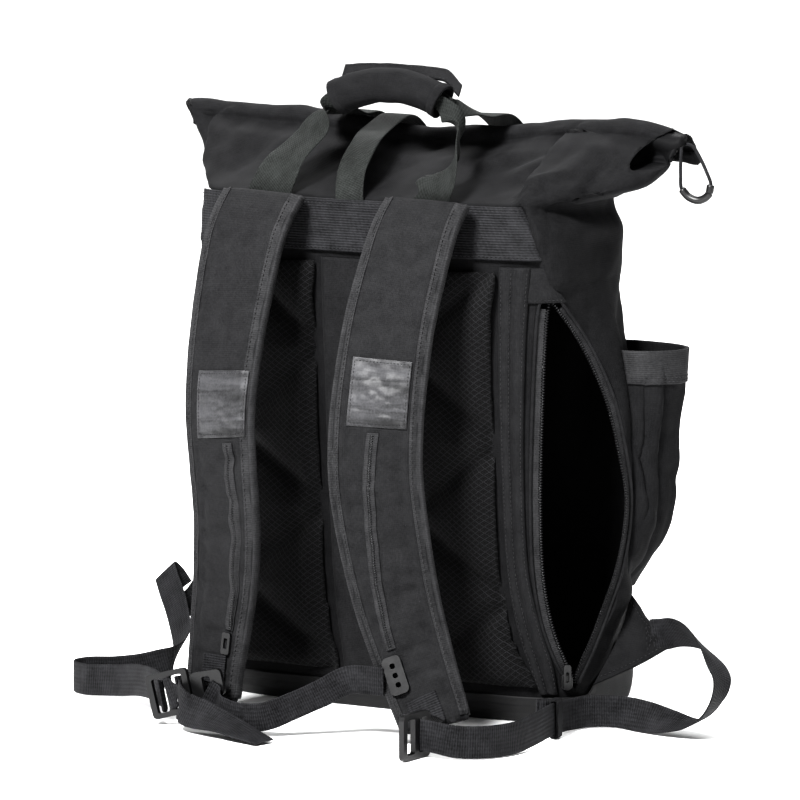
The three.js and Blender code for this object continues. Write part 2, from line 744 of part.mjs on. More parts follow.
// Centre, width direction and outward direction of a strap at a height share
function strapFrame(side, share) {
  const read = (column) => readTable(strapRows, 'up', share, column);
  const centreAt = (s) => {
    const value = (column) => readTable(strapRows, 'up', s, column);
    const aside = value(side > 0 ? 'asideRight' : 'asideLeft') * bodyWidth;
    return new THREE.Vector3(strapCentre + side * aside, value('out') * bodyDepth, s * strapTop);
  };
  const low = centreAt(share - 0.01);
  const high = centreAt(share + 0.01);
  const tangent = high.sub(low).normalize();
  const twist = radians(read('twist')) * side;
  const across = new THREE.Vector3(Math.cos(twist), Math.sin(twist), 0);
  across.addScaledVector(tangent, -across.dot(tangent)).normalize();
  const outward = new THREE.Vector3().crossVectors(across, tangent).normalize();
  const half = (read('wide') * strapWidth) / 2;
  return { centre: centreAt(share), across, outward, tangent, half };
}

const strapTip = strapTipHeight / strapTop;

// Padded strap with round edges
function shoulderStrap(side) {
  const rings = [];
  const steps = 17;
  const section = [[1, 0], [0.95, 0.62], [0.8, 0.92], [0, 1], [-0.8, 0.92], [-0.95, 0.62],
    [-1, 0], [-0.95, -0.62], [-0.8, -0.92], [0, -1], [0.8, -0.92], [0.95, -0.62]];
  for (let i = 0; i <= steps; i += 1) {
    const share = mix(strapTip, 1, i / steps);
    const f = strapFrame(side, share);
    const ends = Math.min(i, steps - i) === 0 ? 0.55 : 1;
    rings.push(section.map(([x, y]) => f.centre.clone()
      .addScaledVector(f.across, x * f.half)
      .addScaledVector(f.outward, (y * strapThickness * ends) / 2)));
  }
  return loft(rings);
}

// Point on a strap's outer face: across runs from -1 to 1
function strapFace(side, across, share, lift = 0) {
  const f = strapFrame(side, share);
  return f.centre.clone()
    .addScaledVector(f.across, across * f.half)
    .addScaledVector(f.outward, strapThickness / 2 + lift);
}

// Where patch and pocket zip lie on each strap's face: heights share strapTop, the others half width
const facing = {
  right: { patchLow: 0.59, patchFrom: -0.6, patchTo: 0.7, zipHigh: -0.02, zipLow: -0.43 },
  left: { patchLow: 0.548, patchFrom: -0.52, patchTo: 0.88, zipHigh: 0.37, zipLow: 0.51 },
};
const facingOf = (side) => facing[side > 0 ? 'right' : 'left'];
const strapZipFoot = 0.18;

// Reflective patch sewn on each strap's face
function strapPatch(side) {
  const at = facingOf(side);
  const high = at.patchLow + patchHeight / strapTop;
  const surface = (u, v) => (
    strapFace(side, mix(at.patchFrom, at.patchTo, u), mix(at.patchLow, high, v)));
  return slab(surface, 2, 2, patchThickness, 2 * seamGap);
}

// Zip of the strap's small pocket, down the face from the patch
function strapZip(side) {
  const at = facingOf(side);
  const half = 0.08;
  const surface = (u, v) => (
    strapFace(
      side,
      mix(at.zipLow, at.zipHigh, v) + mix(-half, half, u),
      mix(strapZipFoot, at.patchLow - 0.01, v),
    ));
  return slab(surface, 1, 10, strapZipThickness, 2 * seamGap);
}

function strapZipPull(side) {
  const low = strapZipFoot - 0.028;
  const f = strapFrame(side, low);
  const middle = strapFace(side, facingOf(side).zipLow, low, 1.5);
  const shape = roundedOutline(9, 17, 2);
  shape.holes.push(roundedOutline(4, 8, 1, THREE.Path));
  return plate(shape, 2, middle, f.across, f.tangent);
}

// Webbing frame: outer rim, two slots and a middle bar
function ladderLock(middle, across, along) {
  const wide = webWidth + 2 * lockRim;
  const shape = roundedOutline(wide, lockLength, 4);
  const slotHeight = (lockLength - 3 * lockRim) / 2;
  [-1, 1].forEach((sign) => {
    const hole = roundedOutline(webWidth + 1.5, slotHeight, 1.5, THREE.Path);
    const shift = (sign * (slotHeight + lockRim)) / 2;
    hole.curves.forEach((curve) => shiftCurve(curve, shift));
    shape.holes.push(hole);
  });
  return plate(shape, lockThickness, middle, across, along);
}

// Moves a piece of an outline along its second axis
function shiftCurve(curve, shift) {
  if (curve.v1) {
    curve.v1.y += shift;
    curve.v2.y += shift;
  } else curve.aY += shift;
}

const rowOf = (at, across, width = webWidth, thick = webThickness) => ({ at, across, width, thick });
const acrossOf = (x, y, z) => new THREE.Vector3(x, y, z);

const lockRightMiddle = place(0.385, -1.83, 0.044);
const lockLeftMiddle = place(-0.318, -1.63, 0.061);
const lockLeftAcross = acrossOf(-0.28, 0.04, 0.96).normalize();
const lockLeftAlong = acrossOf(0.86, 0.12, 0.3).normalize();
const lockLeftFace = new THREE.Vector3().crossVectors(lockLeftAlong, lockLeftAcross).normalize();

// Place on the left lock: steps along it from its middle and out of its face
const onLeftLock = (along, out) => lockLeftMiddle.clone()
  .addScaledVector(lockLeftAlong, along)
  .addScaledVector(lockLeftFace, out);
const lockSlot = (lockLength - lockRim) / 4; // from the middle bar's centre to a slot's centre

// Webbing tongue from the strap's tip to the lock
function strapTongue(side) {
  const aside = side > 0 ? -0.12 : 0.15;
  const lift = webThickness / 2 + 1.5 * seamGap;
  // rises above the strap's tip, and how far the tongue is off the face there
  const seats = side > 0 ? [[0.05, 0], [0.03, 0], [0.004, 0]] : [[0.09, 0], [0.06, 0], [0.03, 1.5]];
  const rows = seats.map(([rise, off]) => (
    rowOf(
      strapFace(side, aside, strapTip + rise, lift + off),
      strapFrame(side, rise + strapTip).across,
    )));
  if (side > 0) rows.push(rowOf(place(0.375, -1.71, 0.045), up));
  else {
    rows.push(rowOf(onLeftLock(lockSlot + 8, -10), acrossOf(0.6, 0, 0.5), webWidth * 0.94));
    rows.push(rowOf(onLeftLock(lockSlot + 2, -6), acrossOf(0.2, 0, 0.8), webWidth * 0.94));
    rows.push(rowOf(onLeftLock(lockSlot, 2), lockLeftAcross, webWidth * 0.94));
  }
  return ribbon(rows, 12);
}

// Right lower webbing: from the wing, round in a standing loop and along the floor to the lock
function lowerWebbingRight() {
  const rows = [
    rowOf(place(0.667, -0.05, 0.172), acrossOf(0.63, 0, -0.78)),
    rowOf(place(0.712, -0.1, 0.181), acrossOf(0.45, 0.2, -0.87)),
    rowOf(place(0.764, -0.16, 0.179), acrossOf(0.2, 0.6, -0.77)),
    rowOf(place(0.812, -0.22, 0.163), acrossOf(0, 0.9, -0.4)),
    rowOf(place(0.852, -0.28, 0.138), acrossOf(0, 1, -0.1)),
    rowOf(place(0.877, -0.34, 0.112), acrossOf(0, 1, 0)),
    rowOf(place(0.88, -0.4, 0.082), acrossOf(0, 1, 0)),
    rowOf(place(0.862, -0.42, 0.053), acrossOf(0, 1, 0)),
    rowOf(place(0.815, -0.4, 0.027), acrossOf(0.1, 0.95, 0.15)),
    rowOf(place(0.745, -0.37, 0.024), acrossOf(0, 0.8, 0.6)),
    rowOf(place(0.68, -0.36, 0.029), acrossOf(0, 0.45, 0.9)),
    rowOf(place(0.615, -0.36, 0.0325), acrossOf(0, 0, 1)),
    rowOf(place(0.555, -0.42, 0.0325), acrossOf(0, 0, 1)),
    rowOf(place(0.53, -0.6, 0.0325), acrossOf(0, 0, 1)),
    rowOf(place(0.545, -0.88, 0.0385), acrossOf(0, 0, 1)),
    rowOf(place(0.562, -1.2, 0.037), acrossOf(0, 0, 1)),
    rowOf(place(0.558, -1.45, 0.0325), acrossOf(0, 0, 1)),
    rowOf(place(0.525, -1.64, 0.0325), acrossOf(0, 0, 1)),
    rowOf(place(0.475, -1.75, 0.035), acrossOf(0, 0, 1)),
    rowOf(place(0.415, -1.79, 0.043), acrossOf(0, 0, 1), webWidth * 0.97),
    rowOf(place(0.372, -1.8, 0.0442), acrossOf(0, 0, 1), webWidth * 0.97),
  ];
  return ribbon(rows, 36);
}

// Left lower webbing: from its wing up to a fold, behind the strap, round a loop and to the lock
function lowerWebbingLeft() {
  const rows = [
    rowOf(place(-0.664, -0.045, 0.17), acrossOf(0.75, 0, 0.65)),
    rowOf(place(-0.684, -0.06, 0.193), acrossOf(0.75, 0, 0.65)),
    rowOf(place(-0.696, -0.1, 0.207), acrossOf(0.75, 0, 0.65)),
    rowOf(place(-0.68, -0.14, 0.19), acrossOf(0.75, 0, 0.65)),
    rowOf(place(-0.63, -0.24, 0.14), acrossOf(0.75, 0, 0.65)),
    rowOf(place(-0.575, -0.42, 0.085), acrossOf(0.6, 0, 0.8)),
    rowOf(place(-0.565, -0.58, 0.06), acrossOf(0.3, 0, 0.95)),
    rowOf(place(-0.605, -0.68, 0.045), acrossOf(0, 0, 1)),
    rowOf(place(-0.68, -0.73, 0.034), acrossOf(0, 0, 1)),
    rowOf(place(-0.745, -0.82, 0.0325), acrossOf(0, 0, 1)),
    rowOf(place(-0.752, -0.96, 0.0325), acrossOf(0, 0, 1)),
    rowOf(place(-0.7, -1.05, 0.0325), acrossOf(0, 0, 1)),
    rowOf(place(-0.6, -1.1, 0.04), acrossOf(0, 0, 1)),
    rowOf(place(-0.48, -1.3, 0.058), acrossOf(0, 0.05, 1)),
    rowOf(place(-0.39, -1.49, 0.062), acrossOf(0, 0.1, 1)),
    rowOf(onLeftLock(-lockSlot - 0.5, -6), lockLeftAcross),
    rowOf(onLeftLock(-lockSlot, 3), lockLeftAcross),
  ];
  return ribbon(rows, 28);
}

// Free tail below the left lock, tapering to a hemmed tip on the floor
function webbingTailLeft() {
  const rows = [
    rowOf(onLeftLock(-1, lockThickness / 2 + 1.2), lockLeftAcross),
    rowOf(onLeftLock(9, lockThickness / 2 + 3.4), lockLeftAcross),
    rowOf(place(-0.25, -1.755, 0.045), acrossOf(0, 0.15, 1)),
    rowOf(place(-0.18, -1.79, 0.036), acrossOf(0, 0.1, 1)),
    rowOf(place(-0.12, -1.82, 0.029), acrossOf(0, 0.4, 0.9), webWidth * 0.95),
    rowOf(place(-0.06, -1.86, 0.018), acrossOf(0, 0.9, 0.45), webWidth * 0.9),
    rowOf(place(0.0, -1.9, 0.006), acrossOf(0.1, 1, 0.1), webWidth * 0.8),
  ];
  return ribbon(rows, 12);
}

// Keeper round the right webbing, with the rolled end behind it
function webbingKeeper() {
  const middle = place(0.5415, -0.82, 0.0335);
  const along = place(0.545, -0.88, 0.0335).sub(middle).normalize();
  const across = new THREE.Vector3().crossVectors(up, along).normalize();
  const shape = roundedOutline(7.5, webWidth + 5.5, 2);
  shape.holes.push(roundedOutline(4.2, webWidth + 2, 1, THREE.Path));
  return plate(shape, 9, middle.setZ(webWidth / 2 + 3), across, up);
}

// Sternum strap parts
function sternumSlider() {
  const share = 0.135;
  const f = strapFrame(1, share);
  const shape = roundedOutline(sternumSliderWidth, sternumSliderLength, 4);
  [-1, 0, 1].forEach((k) => {
    const hole = roundedOutline(4, 4, 1.4, THREE.Path);
    hole.curves.forEach((curve) => shiftCurve(curve, (k * sternumSliderLength) / 4));
    shape.holes.push(hole);
  });
  return plate(shape, 3.5, strapFace(1, -0.52, share, 2.6), f.across, f.tangent);
}

function sternumWebbing() {
  const start = strapFace(1, -0.52, 0.132, 3);
  start.addScaledVector(strapFrame(1, 0.132).across, -10.4);
  const rows = [
    rowOf(start, acrossOf(0.25, 0, 1), sternumWebWidth),
    rowOf(place(0.13, -1.47, 0.112), acrossOf(0.25, 0, 1), sternumWebWidth),
    rowOf(place(0.07, -1.54, 0.085), acrossOf(0.3, 0, 1), sternumWebWidth),
    rowOf(place(0.01, -1.62, 0.06), acrossOf(0.3, 0, 1), sternumWebWidth),
    rowOf(place(-0.045, -1.68, 0.04), acrossOf(0.1, 0, 1), sternumWebWidth),
    rowOf(place(-0.11, -1.69, 0.034), acrossOf(0, 0, 1), sternumWebWidth),
    rowOf(place(-0.165, -1.68, 0.042), acrossOf(0, 0, 1), sternumWebWidth),
    rowOf(place(-0.195, -1.623, 0.058), acrossOf(0, 0, 1), sternumWebWidth),
    rowOf(place(-0.222, -1.631, 0.07), acrossOf(0, 0, 1), sternumWebWidth),
  ];
  return ribbon(rows, 16);
}

function sternumBuckle() {
  const middle = place(-0.222, -1.6, 0.085);
  const shape = roundedOutline(sternumBuckleWidth, sternumBuckleHeight, 4);
  shape.holes.push(roundedOutline(7, 13, 2, THREE.Path));
  return plate(shape, 5, middle, acrossOf(0.96, 0.2, 0.22), up);
}

// Handle: two webbings from the seam through a wrapped grip, and the open hook-and-loop flap
const gripAt = (share) => new THREE.Vector3(
  share * gripHalfLength,
  gripReach,
  gripHeight - gripBow * share * share,
);
const gripMiddleX = 2;
const gripSplit = 4; // each webbing's distance from the middle of the grip

function handleWebbingBack() {
  const footWide = handleWebWidth;
  const gripWide = gripRadius;
  const inGrip = (share) => gripAt(share).add(acrossOf(gripMiddleX, -gripSplit, 0));
  const rows = [
    rowOf(place(-0.245, -0.735, 1.008), acrossOf(1, 0, 0), footWide),
    rowOf(place(-0.225, -0.66, 1.06), acrossOf(1, 0, 0.2), footWide),
    rowOf(place(-0.18, -0.5, 1.12), acrossOf(0.9, 0.1, 0.45), footWide * 0.85),
    rowOf(inGrip(-1.0), acrossOf(0.2, 0, 1), gripWide),
    rowOf(inGrip(-0.6), acrossOf(0, 0, 1), gripWide),
    rowOf(inGrip(0), acrossOf(0, 0, 1), gripWide),
    rowOf(inGrip(0.6), acrossOf(0, 0, 1), gripWide),
    rowOf(inGrip(1.0), acrossOf(0, 0, 1), gripWide),
    rowOf(place(0.2, -0.46, 1.14), acrossOf(-0.5, 0.6, 0.6), footWide * 0.6),
    rowOf(place(0.228, -0.6, 1.09), acrossOf(-0.4, 1, 0), footWide * 0.7),
    rowOf(place(0.215, -0.7, 1.045), acrossOf(-0.9, 0.5, 0), footWide),
    rowOf(place(0.19, -0.735, 1.009), acrossOf(-1, 0, 0), footWide),
  ];
  return ribbon(rows, 30);
}

function handleWebbingFront() {
  const wide = handleWebWidth * 0.88;
  const gripWide = gripRadius;
  const inGrip = (share) => gripAt(share).add(acrossOf(gripMiddleX, gripSplit, 0));
  const rows = [
    rowOf(place(-0.196, 0.54, 1.02), acrossOf(1, 0, 0), wide),
    rowOf(place(-0.194, 0.42, 1.085), acrossOf(1, 0, 0), wide),
    rowOf(place(-0.192, 0.2, 1.14), acrossOf(1, 0, 0), wide),
    rowOf(place(-0.19, -0.05, 1.142), acrossOf(1, 0, 0.05), wide),
    rowOf(place(-0.178, -0.25, 1.16), acrossOf(0.8, 0, 0.5), wide * 0.6),
    rowOf(inGrip(-1.12), acrossOf(0.2, 0, 1), gripWide),
    rowOf(inGrip(-0.9), acrossOf(0, 0, 1), gripWide),
    rowOf(inGrip(0), acrossOf(0, 0, 1), gripWide),
    rowOf(inGrip(0.9), acrossOf(0, 0, 1), gripWide),
    rowOf(inGrip(1.12), acrossOf(-0.2, 0, 1), gripWide),
    rowOf(place(0.18, -0.22, 1.168), acrossOf(-0.8, 0, 0.5), wide * 0.6),
    rowOf(place(0.168, -0.02, 1.152), acrossOf(-1, 0, 0.05), wide),
    rowOf(place(0.166, 0.2, 1.144), acrossOf(-1, 0, 0), wide),
    rowOf(place(0.172, 0.42, 1.095), acrossOf(-1, 0, 0), wide),
    rowOf(place(0.18, 0.54, 1.03), acrossOf(-1, 0, 0), wide),
  ];
  return ribbon(rows, 26);
}

// Wrapped grip: a bent sleeve with open ends
function handleGrip() {
  const tube = (radius, reach) => {
    const rings = [];
    for (let i = 0; i <= 6; i += 1) {
      const share = mix(-reach, reach, i / 6);
      const centre = gripAt(share).add(acrossOf(gripMiddleX, 0, 0));
      const slope = (-2 * gripBow * share) / gripHalfLength;
      const normal = acrossOf(-slope, 0, 1).normalize();
      rings.push(Array.from({ length: 10 }, (_, k) => {
        const a = (k / 10) * 2 * Math.PI;
        return centre.clone()
          .addScaledVector(acrossOf(0, 1, 0), radius * 0.95 * Math.cos(a))
          .addScaledVector(normal, radius * Math.sin(a));
      }));
    }
    return solidOf(loft(rings));
  };
  return geometryOf(tube(gripRadius, 0.98).subtract(tube(gripRadius - gripWall, 1.05)));
}

function gripFlap() {
  const surface = (u, v) => {
    const share = mix(-0.95, 1.2, u);
    const p = gripAt(share).add(acrossOf(gripMiddleX, 0, 0));
    p.y += mix(gripRadius * 0.25, gripRadius, v);
    const droop = 0.8 * gripRadius * smooth((share - 0.9) / 0.35);
    p.z += gripRadius * mix(0.98, 1.2, v) + 0.75 * gripBow * share * share - droop;
    return p;
  };
  return slab(surface, 8, 2, flapThickness);
}

// Centre strap from the yoke up over the roll
function centreStrap() {
  const rows = [
    rowOf(place(-0.03, -0.735, 1.003), acrossOf(1, 0, 0)),
    rowOf(place(-0.04, -0.66, 1.05), acrossOf(1, 0, 0)),
    rowOf(place(-0.055, -0.42, 1.1), acrossOf(1, 0, 0)),
    rowOf(place(-0.085, -0.1, 1.122), acrossOf(1, 0, 0)),
    rowOf(place(-0.09, 0.16, 1.138), acrossOf(1, 0, 0)),
    rowOf(place(-0.09, 0.34, 1.11), acrossOf(1, 0, 0)),
    rowOf(place(-0.09, 0.475, 1.06), acrossOf(1, 0, 0)),
  ];
  return ribbon(rows, 18);
}

// Cord loop at the right end of the roll, and the tube on its bight
const cordPoints = [
  place(0.6768, 0.115, 1.103), place(0.681, 0.085, 1.083), place(0.685, 0.064, 1.052),
  place(0.688, 0.064, 1.025), place(0.706, 0.072, 1.01), place(0.73, 0.08, 1.005),
  place(0.752, 0.088, 1.015), place(0.758, 0.096, 1.035), place(0.745, 0.1, 1.06),
  place(0.722, 0.12, 1.088), place(0.7, 0.145, 1.105), place(0.6768, 0.158, 1.109),
];

function tubeAlong(points, radius, sides, steps) {
  const circle = new THREE.Shape(Array.from({ length: sides }, (_, k) => {
    const a = (k / sides) * 2 * Math.PI;
    return new THREE.Vector2(radius * Math.cos(a), radius * Math.sin(a));
  }));
  const path = new THREE.CatmullRomCurve3(points, false, 'centripetal');
  return new THREE.ExtrudeGeometry(circle, { steps, bevelEnabled: false, extrudePath: path });
}

function pullCord() {
  return tubeAlong(cordPoints, cordDiameter / 2, 6, 16);
}

function pullTube() {
  const bight = cordPoints.slice(3, 8);
  const outer = solidOf(tubeAlong(bight, cordTubeDiameter / 2, 6, 7));
  const bore = solidOf(tubeAlong(cordPoints.slice(2, 9), cordDiameter / 2 + 3 * seamGap, 6, 12));
  return geometryOf(outer.subtract(bore));
}

addPiece('body_shell', bodyShell(), 'pack_cloth');
addPiece('base_boot', baseBoot(), 'boot_cloth');
addPiece('yoke_band', yokeBand(), 'ripstop');
addPiece('spine_panel', spinePanel(), 'pack_cloth');
addPiece('zip_tape_back', zipTape('left'), 'zip');
addPiece('zip_tape_side', zipTape('right'), 'zip');
addPiece('zip_slider', zipSlider(), 'zip');
addPiece('zip_puller', zipPuller(), 'zip');
addPiece('side_pocket', sidePocket(), 'pack_cloth');
addPiece('pocket_hem', pocketHem(), 'pack_cloth');
[[-1, 'left'], [1, 'right']].forEach(([side, word]) => {
  addPiece(`back_pad_${word}`, backPad(side), 'air_mesh');
  addPiece(`back_border_${word}`, backBorder(side), 'pack_cloth');
  addPiece(`wing_tab_${word}`, wingTab(side), 'pack_cloth');
  addPiece(`shoulder_strap_${word}`, shoulderStrap(side), 'pack_cloth');
  addPiece(`strap_patch_${word}`, strapPatch(side), 'reflective');
  addPiece(`strap_zip_${word}`, strapZip(side), 'zip');
});
addPiece('strap_zip_pull', strapZipPull(-1), 'plastic');
addPiece('strap_tongue_right', strapTongue(1), 'webbing');
addPiece('strap_tongue_left', strapTongue(-1), 'webbing');
addPiece('ladder_lock_right', ladderLock(lockRightMiddle, up, acrossOf(-0.07, -1, 0)), 'plastic');
addPiece('ladder_lock_left', ladderLock(lockLeftMiddle, lockLeftAcross, lockLeftAlong), 'plastic');
addPiece('lower_webbing_right', lowerWebbingRight(), 'webbing');
addPiece('lower_webbing_left', lowerWebbingLeft(), 'webbing');
addPiece('webbing_tail_left', webbingTailLeft(), 'webbing');
addPiece('webbing_keeper', webbingKeeper(), 'webbing');
addPiece('sternum_slider', sternumSlider(), 'plastic');
addPiece('sternum_webbing', sternumWebbing(), 'webbing');
addPiece('sternum_buckle', sternumBuckle(), 'plastic');
addPiece('handle_webbing_back', handleWebbingBack(), 'handle_webbing');
addPiece('handle_webbing_front', handleWebbingFront(), 'handle_webbing');
addPiece('handle_grip', handleGrip(), 'pack_cloth');
addPiece('grip_flap', gripFlap(), 'pack_cloth');
addPiece('centre_strap', centreStrap(), 'handle_webbing');
addPiece('pull_cord', pullCord(), 'webbing');
addPiece('pull_tube', pullTube(), 'plastic');

export default group;
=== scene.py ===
import math

import bmesh
import bpy
import numpy as np
from mathutils import Matrix, Vector


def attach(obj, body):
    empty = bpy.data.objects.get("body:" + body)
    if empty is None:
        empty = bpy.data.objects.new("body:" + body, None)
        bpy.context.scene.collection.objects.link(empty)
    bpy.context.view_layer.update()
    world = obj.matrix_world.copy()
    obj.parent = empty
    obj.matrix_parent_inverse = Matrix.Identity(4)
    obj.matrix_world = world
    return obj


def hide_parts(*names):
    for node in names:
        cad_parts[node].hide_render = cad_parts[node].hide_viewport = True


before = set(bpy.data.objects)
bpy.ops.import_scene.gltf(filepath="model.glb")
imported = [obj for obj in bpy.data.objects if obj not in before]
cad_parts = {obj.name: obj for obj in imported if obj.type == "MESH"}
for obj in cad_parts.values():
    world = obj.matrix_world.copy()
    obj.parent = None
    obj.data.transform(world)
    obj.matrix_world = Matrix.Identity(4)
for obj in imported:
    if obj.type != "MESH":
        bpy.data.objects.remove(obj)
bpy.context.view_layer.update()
print("frame loaded")

# All lengths are in metres: +X to the bag's open side, -Y out of the harness face, +Z up.


def clamp(t):
    # held between 0 and 1
    return np.clip(t, 0.0, 1.0)


def smooth(t):
    # slow start and end: 3t^2 - 2t^3
    t = clamp(t)
    return t * t * (3 - 2 * t)


def mix(a, b, t):
    # straight blend from a to b
    return a + (b - a) * t


def unit(v):
    # vectors divided by their own length
    return v / np.maximum(np.linalg.norm(v, axis=-1, keepdims=True), 1e-12)


def readTable(table, keyName, key, column):
    # cubic curve through a table's rows, its slope at a row taken from the rows beside it
    k, v = np.asarray(table[keyName], float), np.asarray(table[column], float)
    key = np.asarray(key, float)
    i = np.clip(np.searchsorted(k[1:], key), 0, len(k) - 2)
    before = np.r_[0, np.arange(len(k) - 1)]
    after = np.r_[np.arange(1, len(k)), len(k) - 1]
    slope = (v[after] - v[before]) / np.maximum(k[after] - k[before], 1e-9)
    span = k[i + 1] - k[i]
    t = clamp((key - k[i]) / span)
    return (
        (2 * t**3 - 3 * t**2 + 1) * v[i]
        + (t**3 - 2 * t**2 + t) * span * slope[i]
        + (3 * t**2 - 2 * t**3) * v[i + 1]
        + (t**3 - t**2) * span * slope[i + 1]
    )


def softNoise(x, y, cell, seed):
    # random heights on a square lattice, joined smoothly between its points, from -1 to 1
    lattice = np.random.default_rng(seed).uniform(-1, 1, (64, 64))
    gx, gy = x / cell, y / cell
    ix, iy = np.floor(gx).astype(int), np.floor(gy).astype(int)
    tx, ty = smooth(gx - ix), smooth(gy - iy)
    low = mix(lattice[ix % 64, iy % 64], lattice[(ix + 1) % 64, iy % 64], tx)
    high = mix(lattice[ix % 64, (iy + 1) % 64], lattice[(ix + 1) % 64, (iy + 1) % 64], tx)
    return mix(low, high, ty)


def segmentDistance(x, y, x0, y0, x1, y1):
    # distance to a straight line between two points, and the share along it
    dx, dy = x1 - x0, y1 - y0
    t = clamp(((x - x0) * dx + (y - y0) * dy) / (dx * dx + dy * dy))
    return np.hypot(x - x0 - t * dx, y - y0 - t * dy), t


def folds(x, y, rows):
    # each row (x0, y0, x1, y1, width, height) raises a soft ridge, or a furrow if its height is below zero
    total = np.zeros(np.broadcast(x, y).shape)
    for x0, y0, x1, y1, width, height in rows:
        away, t = segmentDistance(x, y, x0, y0, x1, y1)
        total += height * np.exp(-((away / width) ** 2)) * (0.35 + 0.65 * np.sin(np.pi * (0.12 + 0.76 * t)))
    return total


def gridNormals(p):
    # cross product of the grid's two directions, differences taken to both sides
    du = np.gradient(p, axis=1)
    dv = np.gradient(p, axis=0)
    return unit(np.cross(du, dv))


def gridFaces(rows, columns, closed=False):
    # four corners per cell, the last column joined to the first where closed
    i = np.arange(rows - 1)[:, None]
    j = np.arange(columns if closed else columns - 1)[None, :]
    k = (j + 1) % columns
    a, b = i * columns + j, i * columns + k
    return np.stack([a, b, b + columns, a + columns], -1).reshape(-1, 4)


def arcLengths(points):
    # running sum of the distances between points
    return np.r_[0, np.cumsum(np.linalg.norm(np.diff(points, axis=0), axis=1))]


def makePiece(name, points, faces, uv=None, weld=0.0, turn=False):
    # puts the arrays into a mesh, with uv in metres of cloth
    mesh = bpy.data.meshes.new(name)
    faces = np.asarray(faces)
    mesh.from_pydata(np.asarray(points).reshape(-1, 3).tolist(), [], faces.tolist())
    if uv is not None:
        layer = mesh.uv_layers.new(name="cloth")
        corner = np.empty(len(mesh.loops), np.int32)
        mesh.loops.foreach_get("vertex_index", corner)
        layer.data.foreach_set("uv", np.asarray(uv, np.float32).reshape(-1, 2)[corner].ravel())
    if weld or turn:
        work = bmesh.new()
        work.from_mesh(mesh)
        if weld:
            bmesh.ops.remove_doubles(work, verts=work.verts, dist=weld)
        if turn:
            bmesh.ops.recalc_face_normals(work, faces=work.faces)
        work.to_mesh(mesh)
        work.free()
    mesh.shade_smooth()
    piece = bpy.data.objects.new(name, mesh)
    bpy.context.scene.collection.objects.link(piece)
    return piece


def joinArrays(parts):
    # several (points, faces, uv) into one, with the faces renumbered
    points, faces, uvs, start = [], [], [], 0
    for p, f, uv in parts:
        p = np.asarray(p).reshape(-1, 3)
        points.append(p)
        faces.append(np.asarray(f) + start)
        uvs.append(np.asarray(uv).reshape(-1, 2))
        start += len(p)
    return np.concatenate(points), np.concatenate(faces), np.concatenate(uvs)


def dress(piece, material, slot, *nodes):
    # gives a finished piece its cloth and its body, and hides the nodes it stands for
    piece.data.materials.append(material)
    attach(piece, "root")
    if nodes:
        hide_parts(*nodes)
    return piece


def bevelEdges(piece, width, segments=2, angle=35):
    # rounds the edges that turn by more than the angle
    soft = piece.modifiers.new("edge", "BEVEL")
    soft.width, soft.segments = width, segments
    soft.limit_method, soft.angle_limit = "ANGLE", math.radians(angle)
    soft.harden_normals = False
    return piece


def slabArrays(surface, uSteps, vSteps, thick, lift, rim=0.0):
    # two skins over surface(u, v): the lower one lifted off it along its normal, the upper one by
    # thick(u, v) more; rim is how far the upper skin is drawn in at the edges, as a turned hem is
    u, v = np.meshgrid(np.linspace(0, 1, uSteps + 1), np.linspace(0, 1, vSteps + 1))
    base = surface(u, v)
    normal = gridNormals(base)
    t = thick(u, v) if callable(thick) else np.full(u.shape, thick)
    top = base + normal * (lift + t)[..., None]
    low = base + normal * np.full(u.shape, lift)[..., None]
    if rim:
        top[:, 0] += unit(base[:, 1] - base[:, 0]) * rim
        top[:, -1] -= unit(base[:, -1] - base[:, -2]) * rim
        top[0] += unit(base[1] - base[0]) * rim
        top[-1] -= unit(base[-1] - base[-2]) * rim
    columns, size = uSteps + 1, (uSteps + 1) * (vSteps + 1)
    upper = gridFaces(vSteps + 1, columns) + size
    lower = gridFaces(vSteps + 1, columns)[:, ::-1]
    edge = np.concatenate([
        np.arange(uSteps), np.arange(vSteps) * columns + uSteps,
        size - 1 - np.arange(uSteps), (vSteps - np.arange(vSteps)) * columns])
    after = np.roll(edge, -1)
    sides = np.stack([edge, after, after + size, edge + size], -1)
    along = np.linalg.norm(np.diff(base, axis=1), axis=2).mean(0)
    up = np.linalg.norm(np.diff(base, axis=0), axis=2).mean(1)
    uu, vv = np.meshgrid(np.r_[0, np.cumsum(along)], np.r_[0, np.cumsum(up)])
    uv = np.stack([uu, vv], -1)
    return np.concatenate([low.reshape(-1, 3), top.reshape(-1, 3)]), \
        np.concatenate([lower, upper, sides]), np.concatenate([uv.reshape(-1, 2)] * 2)


def curveThrough(rows, steps):
    # smooth curve through the rows, its slope at a row weighted by the roots of the distances beside it,
    # then cut into even steps; the first three columns are the place, and a row may hold others
    rows = np.asarray(rows, float)
    ends = np.concatenate([[2 * rows[0] - rows[1]], rows, [2 * rows[-1] - rows[-2]]])
    t = np.linspace(0, len(rows) - 1, 24 * (len(rows) - 1) + 1)
    i = np.minimum(t.astype(int), len(rows) - 2)
    f = (t - i)[:, None]
    a, b, c, d = ends[i], ends[i + 1], ends[i + 2], ends[i + 3]
    ab, bc, cd = (np.sqrt(np.maximum(np.linalg.norm((q - p)[:, :3], axis=1), 1e-9))[:, None]
                  for p, q in ((a, b), (b, c), (c, d)))
    first = ((b - a) / ab - (c - a) / (ab + bc) + (c - b) / bc) * bc
    last = ((c - b) / bc - (d - b) / (bc + cd) + (d - c) / cd) * bc
    fine = b + first * f + (3 * (c - b) - 2 * first - last) * f**2 + (2 * (b - c) + first + last) * f**3
    length = arcLengths(fine[:, :3])
    even = np.linspace(0, length[-1], steps + 1)
    return np.stack([np.interp(even, length, fine[:, k]) for k in range(rows.shape[1])], -1)


